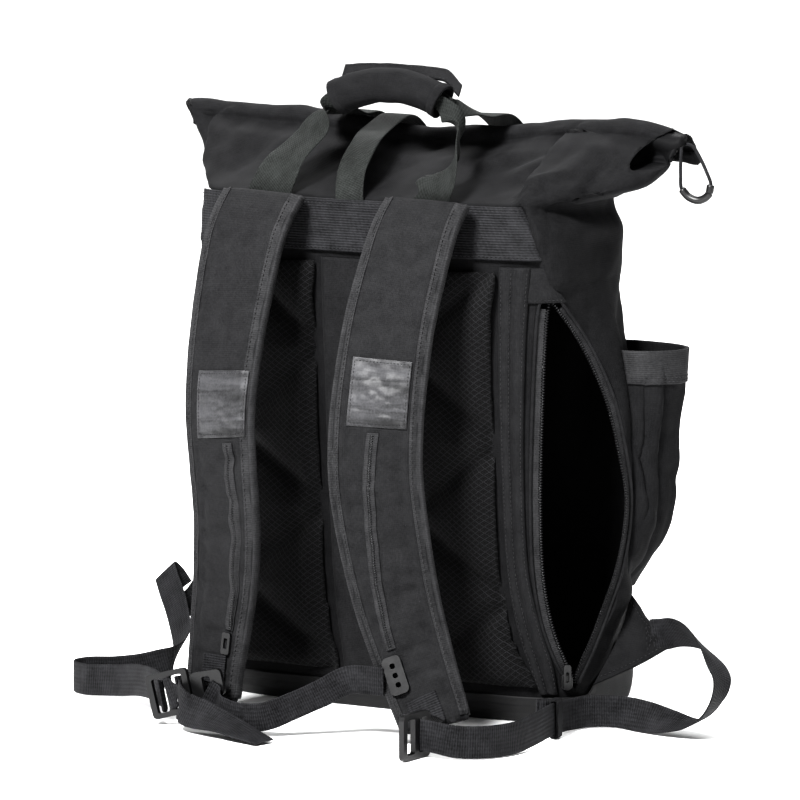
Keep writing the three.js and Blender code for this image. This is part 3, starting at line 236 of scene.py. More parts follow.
def ribbonArrays(rows, steps, thick, wave=0.0, seed=1):
    # webbing: rows (x, y, z, across x, y, z, width) joined by a smooth curve, and a flat section with
    # round selvedges carried along it; it gathers where the path turns edgewise
    path = curveThrough(rows, steps)
    centre, across, half = path[:, :3], path[:, 3:6], path[:, 6] / 2
    tangent = unit(np.gradient(centre, axis=0))
    across = unit(across - tangent * (across * tangent).sum(1, keepdims=True))
    out = np.cross(tangent, across)
    step = np.diff(centre, axis=0)
    turned = np.abs((np.diff(across, axis=0) * step).sum(1))
    room = 0.8 * (step**2).sum(1) / np.maximum(turned, 1e-12)
    half = np.minimum(half, np.minimum(np.r_[room, room[-1]], np.r_[room[0], room]))
    length = arcLengths(centre)
    turn = np.linspace(0, 2 * np.pi, 17)[:-1]
    sx = np.sign(np.cos(turn)) * np.abs(np.cos(turn)) ** 0.35
    sy = np.sign(np.sin(turn)) * np.abs(np.sin(turn)) ** 0.5
    lean = wave * softNoise(length, length * 0 + seed, 0.022, seed)
    x = sx[None, :] * half[:, None]
    y = sy[None, :] * thick * 0.5 + lean[:, None] * sx[None, :]
    points = centre[:, None] + across[:, None] * x[..., None] + out[:, None] * y[..., None]
    count = len(turn)
    faces = gridFaces(steps + 1, count, closed=True)
    uv = np.stack(np.broadcast_arrays(x, length[:, None]), -1)
    caps = []
    for row in (0, steps):
        ring = row * count + np.arange(count)
        quads = [(ring[k], ring[k + 1], ring[count - 2 - k], ring[count - 1 - k]) for k in range(count // 2 - 1)]
        caps += [q[::-1] if row == 0 else q for q in quads]
    return points.reshape(-1, 3), np.concatenate([faces, np.array(caps)]), uv.reshape(-1, 2)


def sectionAxes(centre):
    # two directions square to a path, taken against one slanting line that no path here follows
    tangent = unit(np.gradient(centre, axis=0))
    side = unit(np.cross(tangent, np.array([0.31, 0.17, 0.93])))
    return side, np.cross(tangent, side)


def tubeArrays(centre, radius, sides=12):
    # round section carried along a path, ends closed
    centre = np.asarray(centre, float)
    side, out = sectionAxes(centre)
    turn = np.linspace(0, 2 * np.pi, sides + 1)[:-1]
    radius = np.broadcast_to(radius, (len(centre),))
    points = centre[:, None] + radius[:, None, None] * (
        side[:, None] * np.cos(turn)[None, :, None] + out[:, None] * np.sin(turn)[None, :, None])
    points = np.concatenate([centre[:1, None].repeat(sides, 1), points, centre[-1:, None].repeat(sides, 1)])
    length = np.r_[0, arcLengths(centre), arcLengths(centre)[-1]]
    uv = np.stack(np.broadcast_arrays(turn[None, :] * radius.mean(), length[:, None]), -1)
    return points.reshape(-1, 3), gridFaces(len(points), sides, closed=True), uv.reshape(-1, 2)


def stitchArrays(path, normal, pitch=0.0034, long=0.0024, wide=0.00055, high=0.0004):
    # a row of sewing stitches: small pointed bars laid end to end along a path, on its surface normal
    length = arcLengths(path)
    count = max(1, int(length[-1] / pitch))
    at = (np.arange(count) + 0.5) * length[-1] / count
    mid = np.stack([np.interp(at, length, path[:, k]) for k in range(3)], -1)
    tangent = unit(np.stack([np.interp(at, length, np.gradient(path[:, k], length)) for k in range(3)], -1))
    out = unit(np.stack([np.interp(at, length, normal[:, k]) for k in range(3)], -1))
    side = np.cross(tangent, out)
    shape = np.array([[-.5, 0, -.2], [-.3, .5, 0], [-.3, 0, 1], [-.3, -.5, 0],
                      [.3, .5, 0], [.3, 0, 1], [.3, -.5, 0], [.5, 0, -.2]])
    points = mid[:, None] + (shape[None, :, :1] * tangent[:, None] * long
                             + shape[None, :, 1:2] * side[:, None] * wide
                             + shape[None, :, 2:] * out[:, None] * high)
    cell = np.array([[1, 4, 5, 2], [2, 5, 6, 3], [3, 6, 4, 1], [0, 1, 2, 2], [0, 2, 3, 3], [0, 3, 1, 1],
                     [7, 5, 4, 4], [7, 6, 5, 5], [7, 4, 6, 6]])
    faces = (cell[None] + 8 * np.arange(count)[:, None, None]).reshape(-1, 4)
    uv = np.zeros((len(mid) * 8, 2))
    return points.reshape(-1, 3), faces, uv


# Finishes

def linear(hexColour):
    # sRGB hex to the linear values that the shaders use
    parts = [int(hexColour[i:i + 2], 16) / 255 for i in (1, 3, 5)]
    return [p / 12.92 if p <= 0.04045 else ((p + 0.055) / 1.055) ** 2.4 for p in parts] + [1.0]


def bands(period):
    # the wave texture's scale that repeats once per period
    return math.pi / (10 * period)


def addNode(tree, kind, settings=None, links=None):
    # adds a node, sets its properties or sockets, and links sockets into it
    node = tree.nodes.new(kind)
    for key, value in (settings or {}).items():
        if isinstance(key, str) and hasattr(node, key):
            setattr(node, key, value)
        else:
            node.inputs[key].default_value = value
    for key, socket in (links or {}).items():
        tree.links.new(socket, node.inputs[key])
    return node


def newMaterial(name):
    # empty node tree to build in
    material = bpy.data.materials.new(name)
    material.use_nodes = True
    material.node_tree.nodes.clear()
    return material, material.node_tree


def closeMaterial(tree, shader):
    # shader to the output
    addNode(tree, "ShaderNodeOutputMaterial", links={"Surface": shader.outputs["BSDF"]})


def wovenCloth(name, look):
    # two crossed sets of threads raise the surface, a broad noise shades the dye and a mid one puckers the cloth;
    # the threads follow the piece's own uv in metres, or its Object coordinates where it has none
    material, tree = newMaterial(name)
    place = addNode(tree, "ShaderNodeTexCoord")
    cloth = place.outputs["Object" if look.get("onObject") else "UV"]
    if look.get("turn"):
        cloth = addNode(tree, "ShaderNodeMapping", {"Rotation": look["turn"]}, {"Vector": cloth}).outputs["Vector"]
    warp = addNode(tree, "ShaderNodeTexWave", {"bands_direction": "X", "Scale": bands(look["warp"]),
                   "Distortion": 0.35, "Detail": 1.0, "Detail Scale": 2.0}, {"Vector": cloth})
    weft = addNode(tree, "ShaderNodeTexWave", {"bands_direction": "Y", "Scale": bands(look["weft"]),
                   "Distortion": 0.35, "Detail": 1.0, "Detail Scale": 2.0}, {"Vector": cloth})
    both = addNode(tree, "ShaderNodeMix", {"data_type": "FLOAT", "Factor": look.get("weftShare", 0.5)},
                   {2: warp.outputs["Fac"], 3: weft.outputs["Fac"]})
    dye = addNode(tree, "ShaderNodeTexNoise", {"Scale": 1 / look.get("mottle", 0.012), "Detail": 5.0,
                  "Roughness": 0.62}, {"Vector": place.outputs["Object"]})
    grain = addNode(tree, "ShaderNodeTexNoise", {"Scale": 1 / look.get("grain", 0.0016), "Detail": 2.0,
                    "Roughness": 0.6}, {"Vector": place.outputs["Object"]})
    blend = addNode(tree, "ShaderNodeMix", {"data_type": "FLOAT", "Factor": look.get("grainShare", 0.45)},
                    {2: dye.outputs["Fac"], 3: grain.outputs["Fac"]})
    lightness = addNode(tree, "ShaderNodeMapRange", {"From Min": 0.3, "From Max": 0.72},
                        {"Value": blend.outputs[0]})
    threads = addNode(tree, "ShaderNodeMath", {"operation": "MULTIPLY_ADD", 1: look.get("threadTone", 0.25),
                      2: -0.5 * look.get("threadTone", 0.25)}, {0: both.outputs[0]})
    tone = addNode(tree, "ShaderNodeMath", {"operation": "ADD", "use_clamp": True},
                   {0: lightness.outputs["Result"], 1: threads.outputs["Value"]})
    colour = addNode(tree, "ShaderNodeMix", {"data_type": "RGBA", 6: linear(look["dark"]),
                     7: linear(look["light"])}, {0: tone.outputs["Value"]})
    pucker = addNode(tree, "ShaderNodeTexNoise", {"Scale": 1 / look.get("pucker", 0.018), "Detail": 2.0,
                     "Roughness": 0.5}, {"Vector": place.outputs["Object"]})
    wide = addNode(tree, "ShaderNodeBump", {"Strength": 0.6, "Distance": look.get("puckerHeight", 0.0008)},
                   {"Height": pucker.outputs["Fac"]})
    fine = addNode(tree, "ShaderNodeBump", {"Strength": look.get("threadBump", 0.5),
                   "Distance": look.get("threadHeight", 0.0003)},
                   {"Height": both.outputs[0], "Normal": wide.outputs["Normal"]})
    rough = addNode(tree, "ShaderNodeMapRange", {"To Min": look["rough"] - 0.08, "To Max": look["rough"] + 0.08},
                    {"Value": grain.outputs["Fac"]})
    shader = addNode(tree, "ShaderNodeBsdfPrincipled", {"Sheen Weight": look.get("sheen", 0.05),
                     "Sheen Roughness": 0.45, "Specular IOR Level": look.get("specular", 0.12)},
                     {"Base Color": colour.outputs[2], "Roughness": rough.outputs["Result"],
                      "Normal": fine.outputs["Normal"]})
    shader.inputs["Sheen Tint"].default_value = linear(look.get("sheenTint", "#9a9a9c"))
    closeMaterial(tree, shader)
    return material


# Polyester canvas, plain-woven and dyed charcoal: matt, with a fine even grain.
# Its threads are 0.5 mm apart; they are drawn 1.5 mm apart, the finest that shows in the picture.
canvas = wovenCloth("polyesterCanvasWoven", {"dark": "#161617", "light": "#29292a", "rough": 0.82,
                    "warp": 0.0015, "weft": 0.0015, "threadHeight": 0.00025, "sheen": 0.05,
                    "pucker": 0.03, "puckerHeight": 0.0014, "grainShare": 0.55})
# The same canvas on the bag's body, where it hangs loose and shows longer wrinkles.
bodyCanvas = wovenCloth("polyesterCanvasBody", {"dark": "#111112", "light": "#222223", "rough": 0.84,
                        "warp": 0.0016, "weft": 0.0016, "threadHeight": 0.00022, "sheen": 0.05,
                        "pucker": 0.045, "puckerHeight": 0.0024, "grainShare": 0.5})
# Ripstop nylon: a crosswise rib every 1.9 mm stands out of a smooth ground.
ripstop = wovenCloth("nylonRipstopRibbed", {"dark": "#141415", "light": "#323234", "rough": 0.68,
                     "warp": 0.0038, "weft": 0.0021, "weftShare": 0.78, "threadHeight": 0.0006,
                     "threadBump": 0.8, "threadTone": 0.55, "pucker": 0.02, "puckerHeight": 0.0009})
# Coated cloth of the boot: the coating fills the weave and gives a low grey shine.
bootCloth = wovenCloth("coatedOxfordBoot", {"dark": "#0b0b0c", "light": "#161617", "rough": 0.7,
                       "warp": 0.0018, "weft": 0.0018, "threadHeight": 0.0001, "specular": 0.4,
                       "sheen": 0.02, "pucker": 0.03, "puckerHeight": 0.0012})
# Polyester webbing: thick picks lie across it, a fine rib under the finger.
webbing = wovenCloth("polyesterWebbingWoven", {"dark": "#0f0f10", "light": "#2e2e30", "rough": 0.66,
                     "warp": 0.0031, "weft": 0.0019, "weftShare": 0.68, "threadHeight": 0.0006,
                     "threadBump": 0.8, "threadTone": 0.6, "sheen": 0.06, "puckerHeight": 0.0004})
# Handle webbing: a soft twill in a greener grey, its lines slanting across.
handleCloth = wovenCloth("twillWebbingHandle", {"dark": "#171817", "light": "#303231", "rough": 0.72,
                         "warp": 0.0026, "weft": 0.0017, "weftShare": 0.6, "threadHeight": 0.00045,
                         "threadBump": 0.7, "threadTone": 0.5, "turn": (0, 0, 0.5), "sheen": 0.06,
                         "puckerHeight": 0.0004})
# Binding tape round the straps: a close grosgrain, ribbed across.
grosgrain = wovenCloth("grosgrainBinding", {"dark": "#1d1d1e", "light": "#373738", "rough": 0.7,
                       "warp": 0.004, "weft": 0.0016, "weftShare": 0.85, "threadHeight": 0.0003,
                       "sheen": 0.06, "threadTone": 0.4, "puckerHeight": 0.0005})
# Braided cord: fine strands cross at a slant round it.
braid = wovenCloth("polyesterCordBraided", {"dark": "#111112", "light": "#2b2b2d", "rough": 0.6, "warp": 0.0012,
                   "weft": 0.0012, "threadHeight": 0.0003, "turn": (0, 0, 0.785), "threadTone": 0.5,
                   "puckerHeight": 0.0002})
# Lining of the compartment: smooth taffeta, darker than the outside; that dark colour is painted shade, and the same
# cloth is laid on the outer faces in the mouth of the roll as painted shade.
liningAndPaintedShade = wovenCloth("taffetaLiningAndPaintedShade", {"dark": "#0c0c0d", "light": "#171718", "rough": 0.6,
                    "warp": 0.0015, "weft": 0.0015, "threadHeight": 0.0001, "sheen": 0.05,
                    "pucker": 0.03, "puckerHeight": 0.0016})


def reflectiveFilm(name):
    # reflective film on cloth: silver grey and half glossy, crumpled in crosswise wrinkles where it lost its bond; its
    # colour follows the crumple, the raised streaks painted light as painted highlight and the hollows dark as painted
    # shade
    material, tree = newMaterial(name)
    place = addNode(tree, "ShaderNodeTexCoord")
    flat = addNode(tree, "ShaderNodeMapping", {"Scale": (10, 66, 40)}, {"Vector": place.outputs["UV"]})
    crumple = addNode(tree, "ShaderNodeTexNoise", {"Scale": 1.0, "Detail": 3.5, "Roughness": 0.6,
                      "Distortion": 0.5}, {"Vector": flat.outputs["Vector"]})
    scuff = addNode(tree, "ShaderNodeTexNoise", {"Scale": 700.0, "Detail": 3.0},
                    {"Vector": place.outputs["Object"]})
    # painted highlight and shade: the crumple that raises the film also sets its tone, from near black to grey, with a
    # little fine scuff mixed in
    level = addNode(tree, "ShaderNodeMix", {"data_type": "FLOAT", "Factor": 0.22},
                    {2: crumple.outputs["Fac"], 3: scuff.outputs["Fac"]})
    tone = addNode(tree, "ShaderNodeMapRange", {"From Min": 0.36, "From Max": 0.62, "interpolation_type": "SMOOTHSTEP"},
                   {"Value": level.outputs[0]})
    colour = addNode(tree, "ShaderNodeMix", {"data_type": "RGBA", 6: linear("#131314"), 7: linear("#3e3e40")},
                     {0: tone.outputs["Result"]})
    bump = addNode(tree, "ShaderNodeBump", {"Strength": 0.6, "Distance": 0.0012},
                   {"Height": crumple.outputs["Fac"]})
    shader = addNode(tree, "ShaderNodeBsdfPrincipled", {"Roughness": 0.5, "Specular IOR Level": 0.3,
                     "Sheen Weight": 0.1}, {"Base Color": colour.outputs[2], "Normal": bump.outputs["Normal"]})
    closeMaterial(tree, shader)
    return material


def spacerMesh(name, look):
    # spacer mesh: diamonds of raised yarn 6.2 by 5 mm on x and z, a smaller diamond in each, holes between
    material, tree = newMaterial(name)
    place = addNode(tree, "ShaderNodeTexCoord")
    axes = addNode(tree, "ShaderNodeSeparateXYZ", links={"Vector": place.outputs["Object"]})
    across = addNode(tree, "ShaderNodeMath", {"operation": "MULTIPLY", 1: 1 / look["wide"]}, {0: axes.outputs["X"]})
    up = addNode(tree, "ShaderNodeMath", {"operation": "MULTIPLY", 1: 1 / look["high"]}, {0: axes.outputs["Z"]})
    sides = []
    for operation in ("ADD", "SUBTRACT"):
        slant = addNode(tree, "ShaderNodeMath", {"operation": operation},
                        {0: across.outputs["Value"], 1: up.outputs["Value"]})
        wrap = addNode(tree, "ShaderNodeMath", {"operation": "PINGPONG", 1: 0.5}, {0: slant.outputs["Value"]})
        sides.append(wrap.outputs["Value"])
    edge = addNode(tree, "ShaderNodeMath", {"operation": "MINIMUM"}, {0: sides[0], 1: sides[1]})
    yarn = addNode(tree, "ShaderNodeMapRange", {"From Min": 0.15, "From Max": 0.05,
                   "interpolation_type": "SMOOTHSTEP"}, {"Value": edge.outputs["Value"]})
    ring = addNode(tree, "ShaderNodeMath", {"operation": "COMPARE", 1: 0.29, 2: 0.05}, {0: edge.outputs["Value"]})
    height = addNode(tree, "ShaderNodeMath", {"operation": "MULTIPLY_ADD", 1: 0.55},
                     {0: ring.outputs["Value"], 2: yarn.outputs["Result"]})
    fuzz = addNode(tree, "ShaderNodeTexNoise", {"Scale": 900.0, "Detail": 2.0}, {"Vector": place.outputs["Object"]})
    tone = addNode(tree, "ShaderNodeMath", {"operation": "MULTIPLY", "use_clamp": True},
                   {0: height.outputs["Value"], 1: fuzz.outputs["Fac"]})
    colour = addNode(tree, "ShaderNodeMix", {"data_type": "RGBA", 6: linear(look["dark"]), 7: linear(look["light"])},
                     {0: tone.outputs["Value"]})
    bump = addNode(tree, "ShaderNodeBump", {"Strength": 0.7, "Distance": 0.0009},
                   {"Height": height.outputs["Value"]})
    shader = addNode(tree, "ShaderNodeBsdfPrincipled", {"Roughness": 0.8, "Sheen Weight": 0.03,
                     "Specular IOR Level": 0.15}, {"Base Color": colour.outputs[2], "Normal": bump.outputs["Normal"]})
    closeMaterial(tree, shader)
    return material


def mouldedPlastic(name, look):
    # moulded acetal or nylon: even colour, a fine spark-eroded grain and a soft shine
    material, tree = newMaterial(name)
    place = addNode(tree, "ShaderNodeTexCoord")
    grain = addNode(tree, "ShaderNodeTexNoise", {"Scale": 1 / look["grain"], "Detail": 3.0},
                    {"Vector": place.outputs["Object"]})
    wear = addNode(tree, "ShaderNodeTexNoise", {"Scale": 120.0, "Detail": 4.0}, {"Vector": place.outputs["Object"]})
    colour = addNode(tree, "ShaderNodeMix", {"data_type": "RGBA", 6: linear(look["dark"]), 7: linear(look["light"])},
                     {0: wear.outputs["Fac"]})
    rough = addNode(tree, "ShaderNodeMapRange", {"To Min": look["rough"] - 0.07, "To Max": look["rough"] + 0.1},
                    {"Value": wear.outputs["Fac"]})
    bump = addNode(tree, "ShaderNodeBump", {"Strength": 0.25, "Distance": 0.00012}, {"Height": grain.outputs["Fac"]})
    shader = addNode(tree, "ShaderNodeBsdfPrincipled", {"Specular IOR Level": 0.5},
                     {"Base Color": colour.outputs[2], "Roughness": rough.outputs["Result"],
                      "Normal": bump.outputs["Normal"]})
    closeMaterial(tree, shader)
    return material


silverFilm = reflectiveFilm("reflectiveFilmCrumpled")
airMesh = spacerMesh("spacerMeshDiamond", {"wide": 0.0062, "high": 0.0050, "dark": "#070707", "light": "#303032"})
acetal = mouldedPlastic("acetalMoulded", {"dark": "#0a0a0b", "light": "#131314", "rough": 0.36, "grain": 0.0009})
coilNylon = mouldedPlastic("nylonCoilZip", {"dark": "#141415", "light": "#202022", "rough": 0.36, "grain": 0.0006})
sliderMetal = mouldedPlastic("lacqueredZincSlider", {"dark": "#0b0b0c", "light": "#151516", "rough": 0.34,
                             "grain": 0.0012})
# Sewing thread: bonded polyester, a shade lighter than the cloth it holds.
thread = mouldedPlastic("bondedPolyesterThread", {"dark": "#1e1e1f", "light": "#323234", "rough": 0.6,
                        "grain": 0.0005})
print("finishes made")

# Camera and studio

view = {"azimuth": 30.0, "elevation": 7.6, "distance": 4.762, "right": -0.0154, "up": 0.2347, "lens": 270.0}


def makeCamera():
    # stands on a circle round the bag, looking at the point in the middle of the picture
    a, e = math.radians(view["azimuth"]), math.radians(view["elevation"])
    right = Vector((math.cos(a), math.sin(a), 0))
    up = Vector((-math.sin(a) * math.sin(e), math.cos(a) * math.sin(e), math.cos(e)))
    ahead = Vector((-math.sin(a) * math.cos(e), math.cos(a) * math.cos(e), -math.sin(e)))
    target = right * view["right"] + up * view["up"]
    data = bpy.data.cameras.new("camera")
    data.lens, data.sensor_width, data.sensor_fit = view["lens"], 36.0, "HORIZONTAL"
    data.clip_end = 100
    camera = bpy.data.objects.new("camera", data)
    turn = Matrix((right, up, -ahead)).transposed().to_4x4()
    camera.matrix_world = Matrix.Translation(target - ahead * view["distance"]) @ turn
    bpy.context.scene.collection.objects.link(camera)
    bpy.context.scene.camera = camera


def areaLight(name, azimuth, elevation, distance, size, power):
    # soft box on a sphere round the middle of the bag, azimuth 0 in front of the harness and 90 on the open side
    a, e = math.radians(azimuth), math.radians(elevation)
    middle = Vector((0, -0.05, 0.25))
    toward = Vector((math.sin(a) * math.cos(e), -math.cos(a) * math.cos(e), math.sin(e)))
    data = bpy.data.lights.new(name, "AREA")
    data.shape, data.size, data.energy = "SQUARE", size, power
    lamp = bpy.data.objects.new(name, data)
    lamp.location = middle + toward * distance
    lamp.rotation_euler = (-toward).to_track_quat("-Z", "Y").to_euler()
    bpy.context.scene.collection.objects.link(lamp)


def makeStudio():
    # floor, white surroundings, two soft boxes and a wide overhead light
    ground = makePiece("studioFloor", np.array([[-30, -30, 0], [30, -30, 0], [30, 30, 0], [-30, 30, 0]], float)
                       - np.array([0, 0, 0.0004]), [[0, 1, 2, 3]])
    material, tree = newMaterial("paintedFloorPale")
    place = addNode(tree, "ShaderNodeTexCoord")
    cloud = addNode(tree, "ShaderNodeTexNoise", {"Scale": 0.8, "Detail": 2.0}, {"Vector": place.outputs["Object"]})
    colour = addNode(tree, "ShaderNodeMix", {"data_type": "RGBA", 6: linear("#f3f3f3"), 7: linear("#f8f8f8")},
                     {0: cloud.outputs["Fac"]})
    shader = addNode(tree, "ShaderNodeBsdfPrincipled", {"Roughness": 0.9, "Specular IOR Level": 0.1},
                     {"Base Color": colour.outputs[2]})
    closeMaterial(tree, shader)
    ground.data.materials.append(material)
    # white paper all round at the height of the eye, a dim ceiling above it
    world = bpy.data.worlds.new("studio")
    world.use_nodes = True
    sky = world.node_tree
    place = addNode(sky, "ShaderNodeTexCoord")
    axes = addNode(sky, "ShaderNodeSeparateXYZ", links={"Vector": place.outputs["Generated"]})
    height = addNode(sky, "ShaderNodeMath", {"operation": "ABSOLUTE"}, {0: axes.outputs["Z"]})
    fade = addNode(sky, "ShaderNodeMapRange", {"From Min": 0.1, "From Max": 0.24, "To Min": 1.0, "To Max": 0.25,
                   "interpolation_type": "SMOOTHSTEP"}, {"Value": height.outputs["Value"]})
    sky.links.new(fade.outputs["Result"], sky.nodes["Background"].inputs["Color"])
    bpy.context.scene.world = world
    bpy.context.scene.view_settings.view_transform = "Standard"  # keeps the studio's white paper white
    bpy.context.scene.view_settings.look = "High Contrast"
    areaLight("keyLight", azimuth=2, elevation=42, distance=3.4, size=0.8, power=260)
    areaLight("rimLight", azimuth=215, elevation=48, distance=3.0, size=1.2, power=50)
    sun = bpy.data.lights.new("ceilingLight", "SUN")
    sun.energy, sun.angle = 2.2, math.radians(35)
    lamp = bpy.data.objects.new("ceilingLight", sun)
    lamp.rotation_euler = (math.radians(-12), math.radians(8), 0)
    bpy.context.scene.collection.objects.link(lamp)


makeCamera()
makeStudio()
print("camera and studio set")

# The bag's form, shared by the pieces that lie on it

bag = {"width": 0.330, "depth": 0.125, "height": 0.404, "collarRise": 0.034, "ridgeHalf": 0.228,
       "ridgeShift": -0.005, "leftEase": 0.006, "slotBottom": 0.027, "slotTop": 0.342, "slotFlare": 0.028,
       "foot": 0.0019}
trunkTable = {
    "up": [0, 0.022, 0.1, 0.3, 0.6, 0.88, 1],
    "back": [-0.46, -0.507, -0.525, -0.575, -0.65, -0.71, -0.72],
    "front": [0.56, 0.6, 0.62, 0.62, 0.6, 0.55, 0.5],
    "half": [0.465, 0.497, 0.5, 0.5, 0.497, 0.493, 0.49],
    "square": [4, 4.5, 5, 5, 5, 4.6, 4],
}
collarTable = {
    "up": [0, 0.26, 0.56, 0.78, 1],
    "back": [-0.72, -0.49, -0.26, -0.12, 0.075],
    "front": [0.5, 0.46, 0.36, 0.28, 0.145],
    "left": [0.709, 0.802, 0.847, 0.893, 0.932],
    "right": [0.709, 0.872, 0.955, 0.98, 0.98],
    "square": [4, 2.7, 2.3, 2.3, 3],
}
ridgeTable = {"across": [-1, -0.75, -0.45, 0, 0.26, 0.45, 0.65, 0.85, 1],
              "lift": [0.45, 0.36, 0.27, 0, 0.1, 0.24, 0.36, 0.36, 0.12]}
slotTable = {
    "up": [0, 0.03, 0.09, 0.18, 0.3, 0.46, 0.6, 0.72, 0.85, 0.95, 1],
    "left": [0.315, 0.29, 0.26, 0.232, 0.214, 0.207, 0.207, 0.209, 0.213, 0.221, 0.237],
    "right": [0.325, 0.338, 0.366, 0.4, 0.437, 0.455, 0.438, 0.41, 0.352, 0.286, 0.25],
}


def place(x, y, z):
    # shares of the bag's width, depth and height
    return np.array([x * bag["width"], y * bag["depth"], z * bag["height"]])


# Pull cord at the right end of the roll: it leaves the roll, bends round and goes back in

pullCord = {
    "diameter": 0.0026, "tubeDiameter": 0.006, "bore": 0.0032, "lip": 0.0006,
    "route": [(0.6768, 0.115, 1.103), (0.681, 0.085, 1.083), (0.685, 0.064, 1.052), (0.688, 0.064, 1.025),
              (0.706, 0.072, 1.01), (0.73, 0.08, 1.005), (0.752, 0.088, 1.015), (0.758, 0.096, 1.035),
              (0.745, 0.1, 1.06), (0.722, 0.12, 1.088), (0.7, 0.145, 1.105), (0.6768, 0.158, 1.109)],
}


def makeCord():
    # braid along the route and a sleeve over its bight, both round sections carried along a curve
    route = curveThrough([place(*row) for row in pullCord["route"]], 72)
    cord = makePiece("pullCordBraid", *tubeArrays(route, pullCord["diameter"] / 2, 12), weld=0.00001, turn=True)
    dress(cord, braid, "webbing", "pull_cord")
    bight = curveThrough([place(*row) for row in pullCord["route"][3:8]], 40)
    side, out = sectionAxes(bight)
    # closed profile of the sleeve: outer wall with rounded lips, and the bore, carried round the bight
    turn = np.linspace(0, 2 * np.pi, 15)[:-1]
    outer = np.full(len(bight), pullCord["tubeDiameter"] / 2)
    outer[[0, -1]] -= pullCord["lip"]
    spokes = side[:, None] * np.cos(turn)[None, :, None] + out[:, None] * np.sin(turn)[None, :, None]
    wall, bore = (bight[:, None] + radius * spokes for radius in (outer[:, None, None], pullCord["bore"] / 2))
    shell = np.concatenate([wall, bore[::-1]])
    shell = np.concatenate([shell, shell[:1]])
    tube = makePiece("pullCordSleeve", shell, gridFaces(len(shell), len(turn), closed=True), weld=0.00001, turn=True)
    dress(tube, acetal, "plastic", "pull_tube")


makeCord()
print("pull cord made")


def trunkSection(z):
    # back, front, half width and squareness of the section, read at the share of the height
    share = np.asarray(z) / bag["height"]
    back, front, half, square = (readTable(trunkTable, "up", share, c) for c in ("back", "front", "half", "square"))
    return back * bag["depth"], front * bag["depth"], half * bag["width"], square


def sideEase(x, y, z):
    # the open flap stands out beside the zip on the right, and the left side is a little full
    share = smooth((np.abs(x) / bag["width"] - 0.3) / 0.15)
    t = clamp((z - bag["slotBottom"]) / (bag["slotTop"] - bag["slotBottom"]))
    flare = bag["slotFlare"] * np.sin(np.pi * t) ** 0.8 * np.exp(-(((y / bag["depth"] + 0.06) / 0.26) ** 2))
    return np.where(x > 0, flare, -bag["leftEase"]) * share


def trunkPoint(angle, z, inset=0.0):
    # superellipse |x/a|^n + |y/b|^n = 1 at a height, angle 0 at +X and 90 degrees at +Y
    angle, z = np.broadcast_arrays(angle, z)
    back, front, half, square = trunkSection(z)
    c, d = np.cos(angle), np.sin(angle)
    norm = (np.abs(c) ** square + np.abs(d) ** square) ** (1 / square)
    x = (half - inset) * c / norm
    y = (back + front) / 2 + ((front - back) / 2 - inset) * d / norm
    return np.stack([x + sideEase(x, y, z), y, z], -1)


def backPoint(x, z):
    # the same section solved for y at a given x, on the harness side
    back, front, half, square = trunkSection(z)
    share = np.minimum(0.999, np.abs(x) / half) ** square
    y = (back + front) / 2 - (front - back) / 2 * (1 - share) ** (1 / square)
    return np.stack(np.broadcast_arrays(x + np.where(x < 0, sideEase(x, y, z), 0), y, z), -1)


def sidePoint(y, z, side=1):
    # the same section solved for x at a given y, on the right (1) or left (-1) side
    back, front, half, square = trunkSection(z)
    share = np.minimum(0.999, np.abs(y - (back + front) / 2) / ((front - back) / 2)) ** square
    x = side * half * (1 - share) ** (1 / square)
    return np.stack(np.broadcast_arrays(x + sideEase(x, y, z), y, z), -1)


slotAcross = np.array([0.8, 0.6, 0.0])


def slotAngle(z, side):
    # angle at which the section crosses the slot's edge, found by halving; both edges meet at its ends
    share = (z - bag["slotBottom"]) / (bag["slotTop"] - bag["slotBottom"])
    edge = {name: readTable(slotTable, "up", clamp(share), name) for name in ("left", "right")}
    parted = smooth(np.minimum(share, 1 - share) / 0.02)
    target = mix((edge["left"] + edge["right"]) / 2, edge[side], parted) * bag["width"]
    low, high = np.full(np.shape(z), -np.pi / 2), np.zeros(np.shape(z))
    for _ in range(30):
        middle = (low + high) / 2
        below = trunkPoint(middle, z) @ slotAcross < target
        low, high = np.where(below, middle, low), np.where(below, high, middle)
    return low


# Body: one sheet from the zip's outer edge all the way round to its harness edge, up into the roll

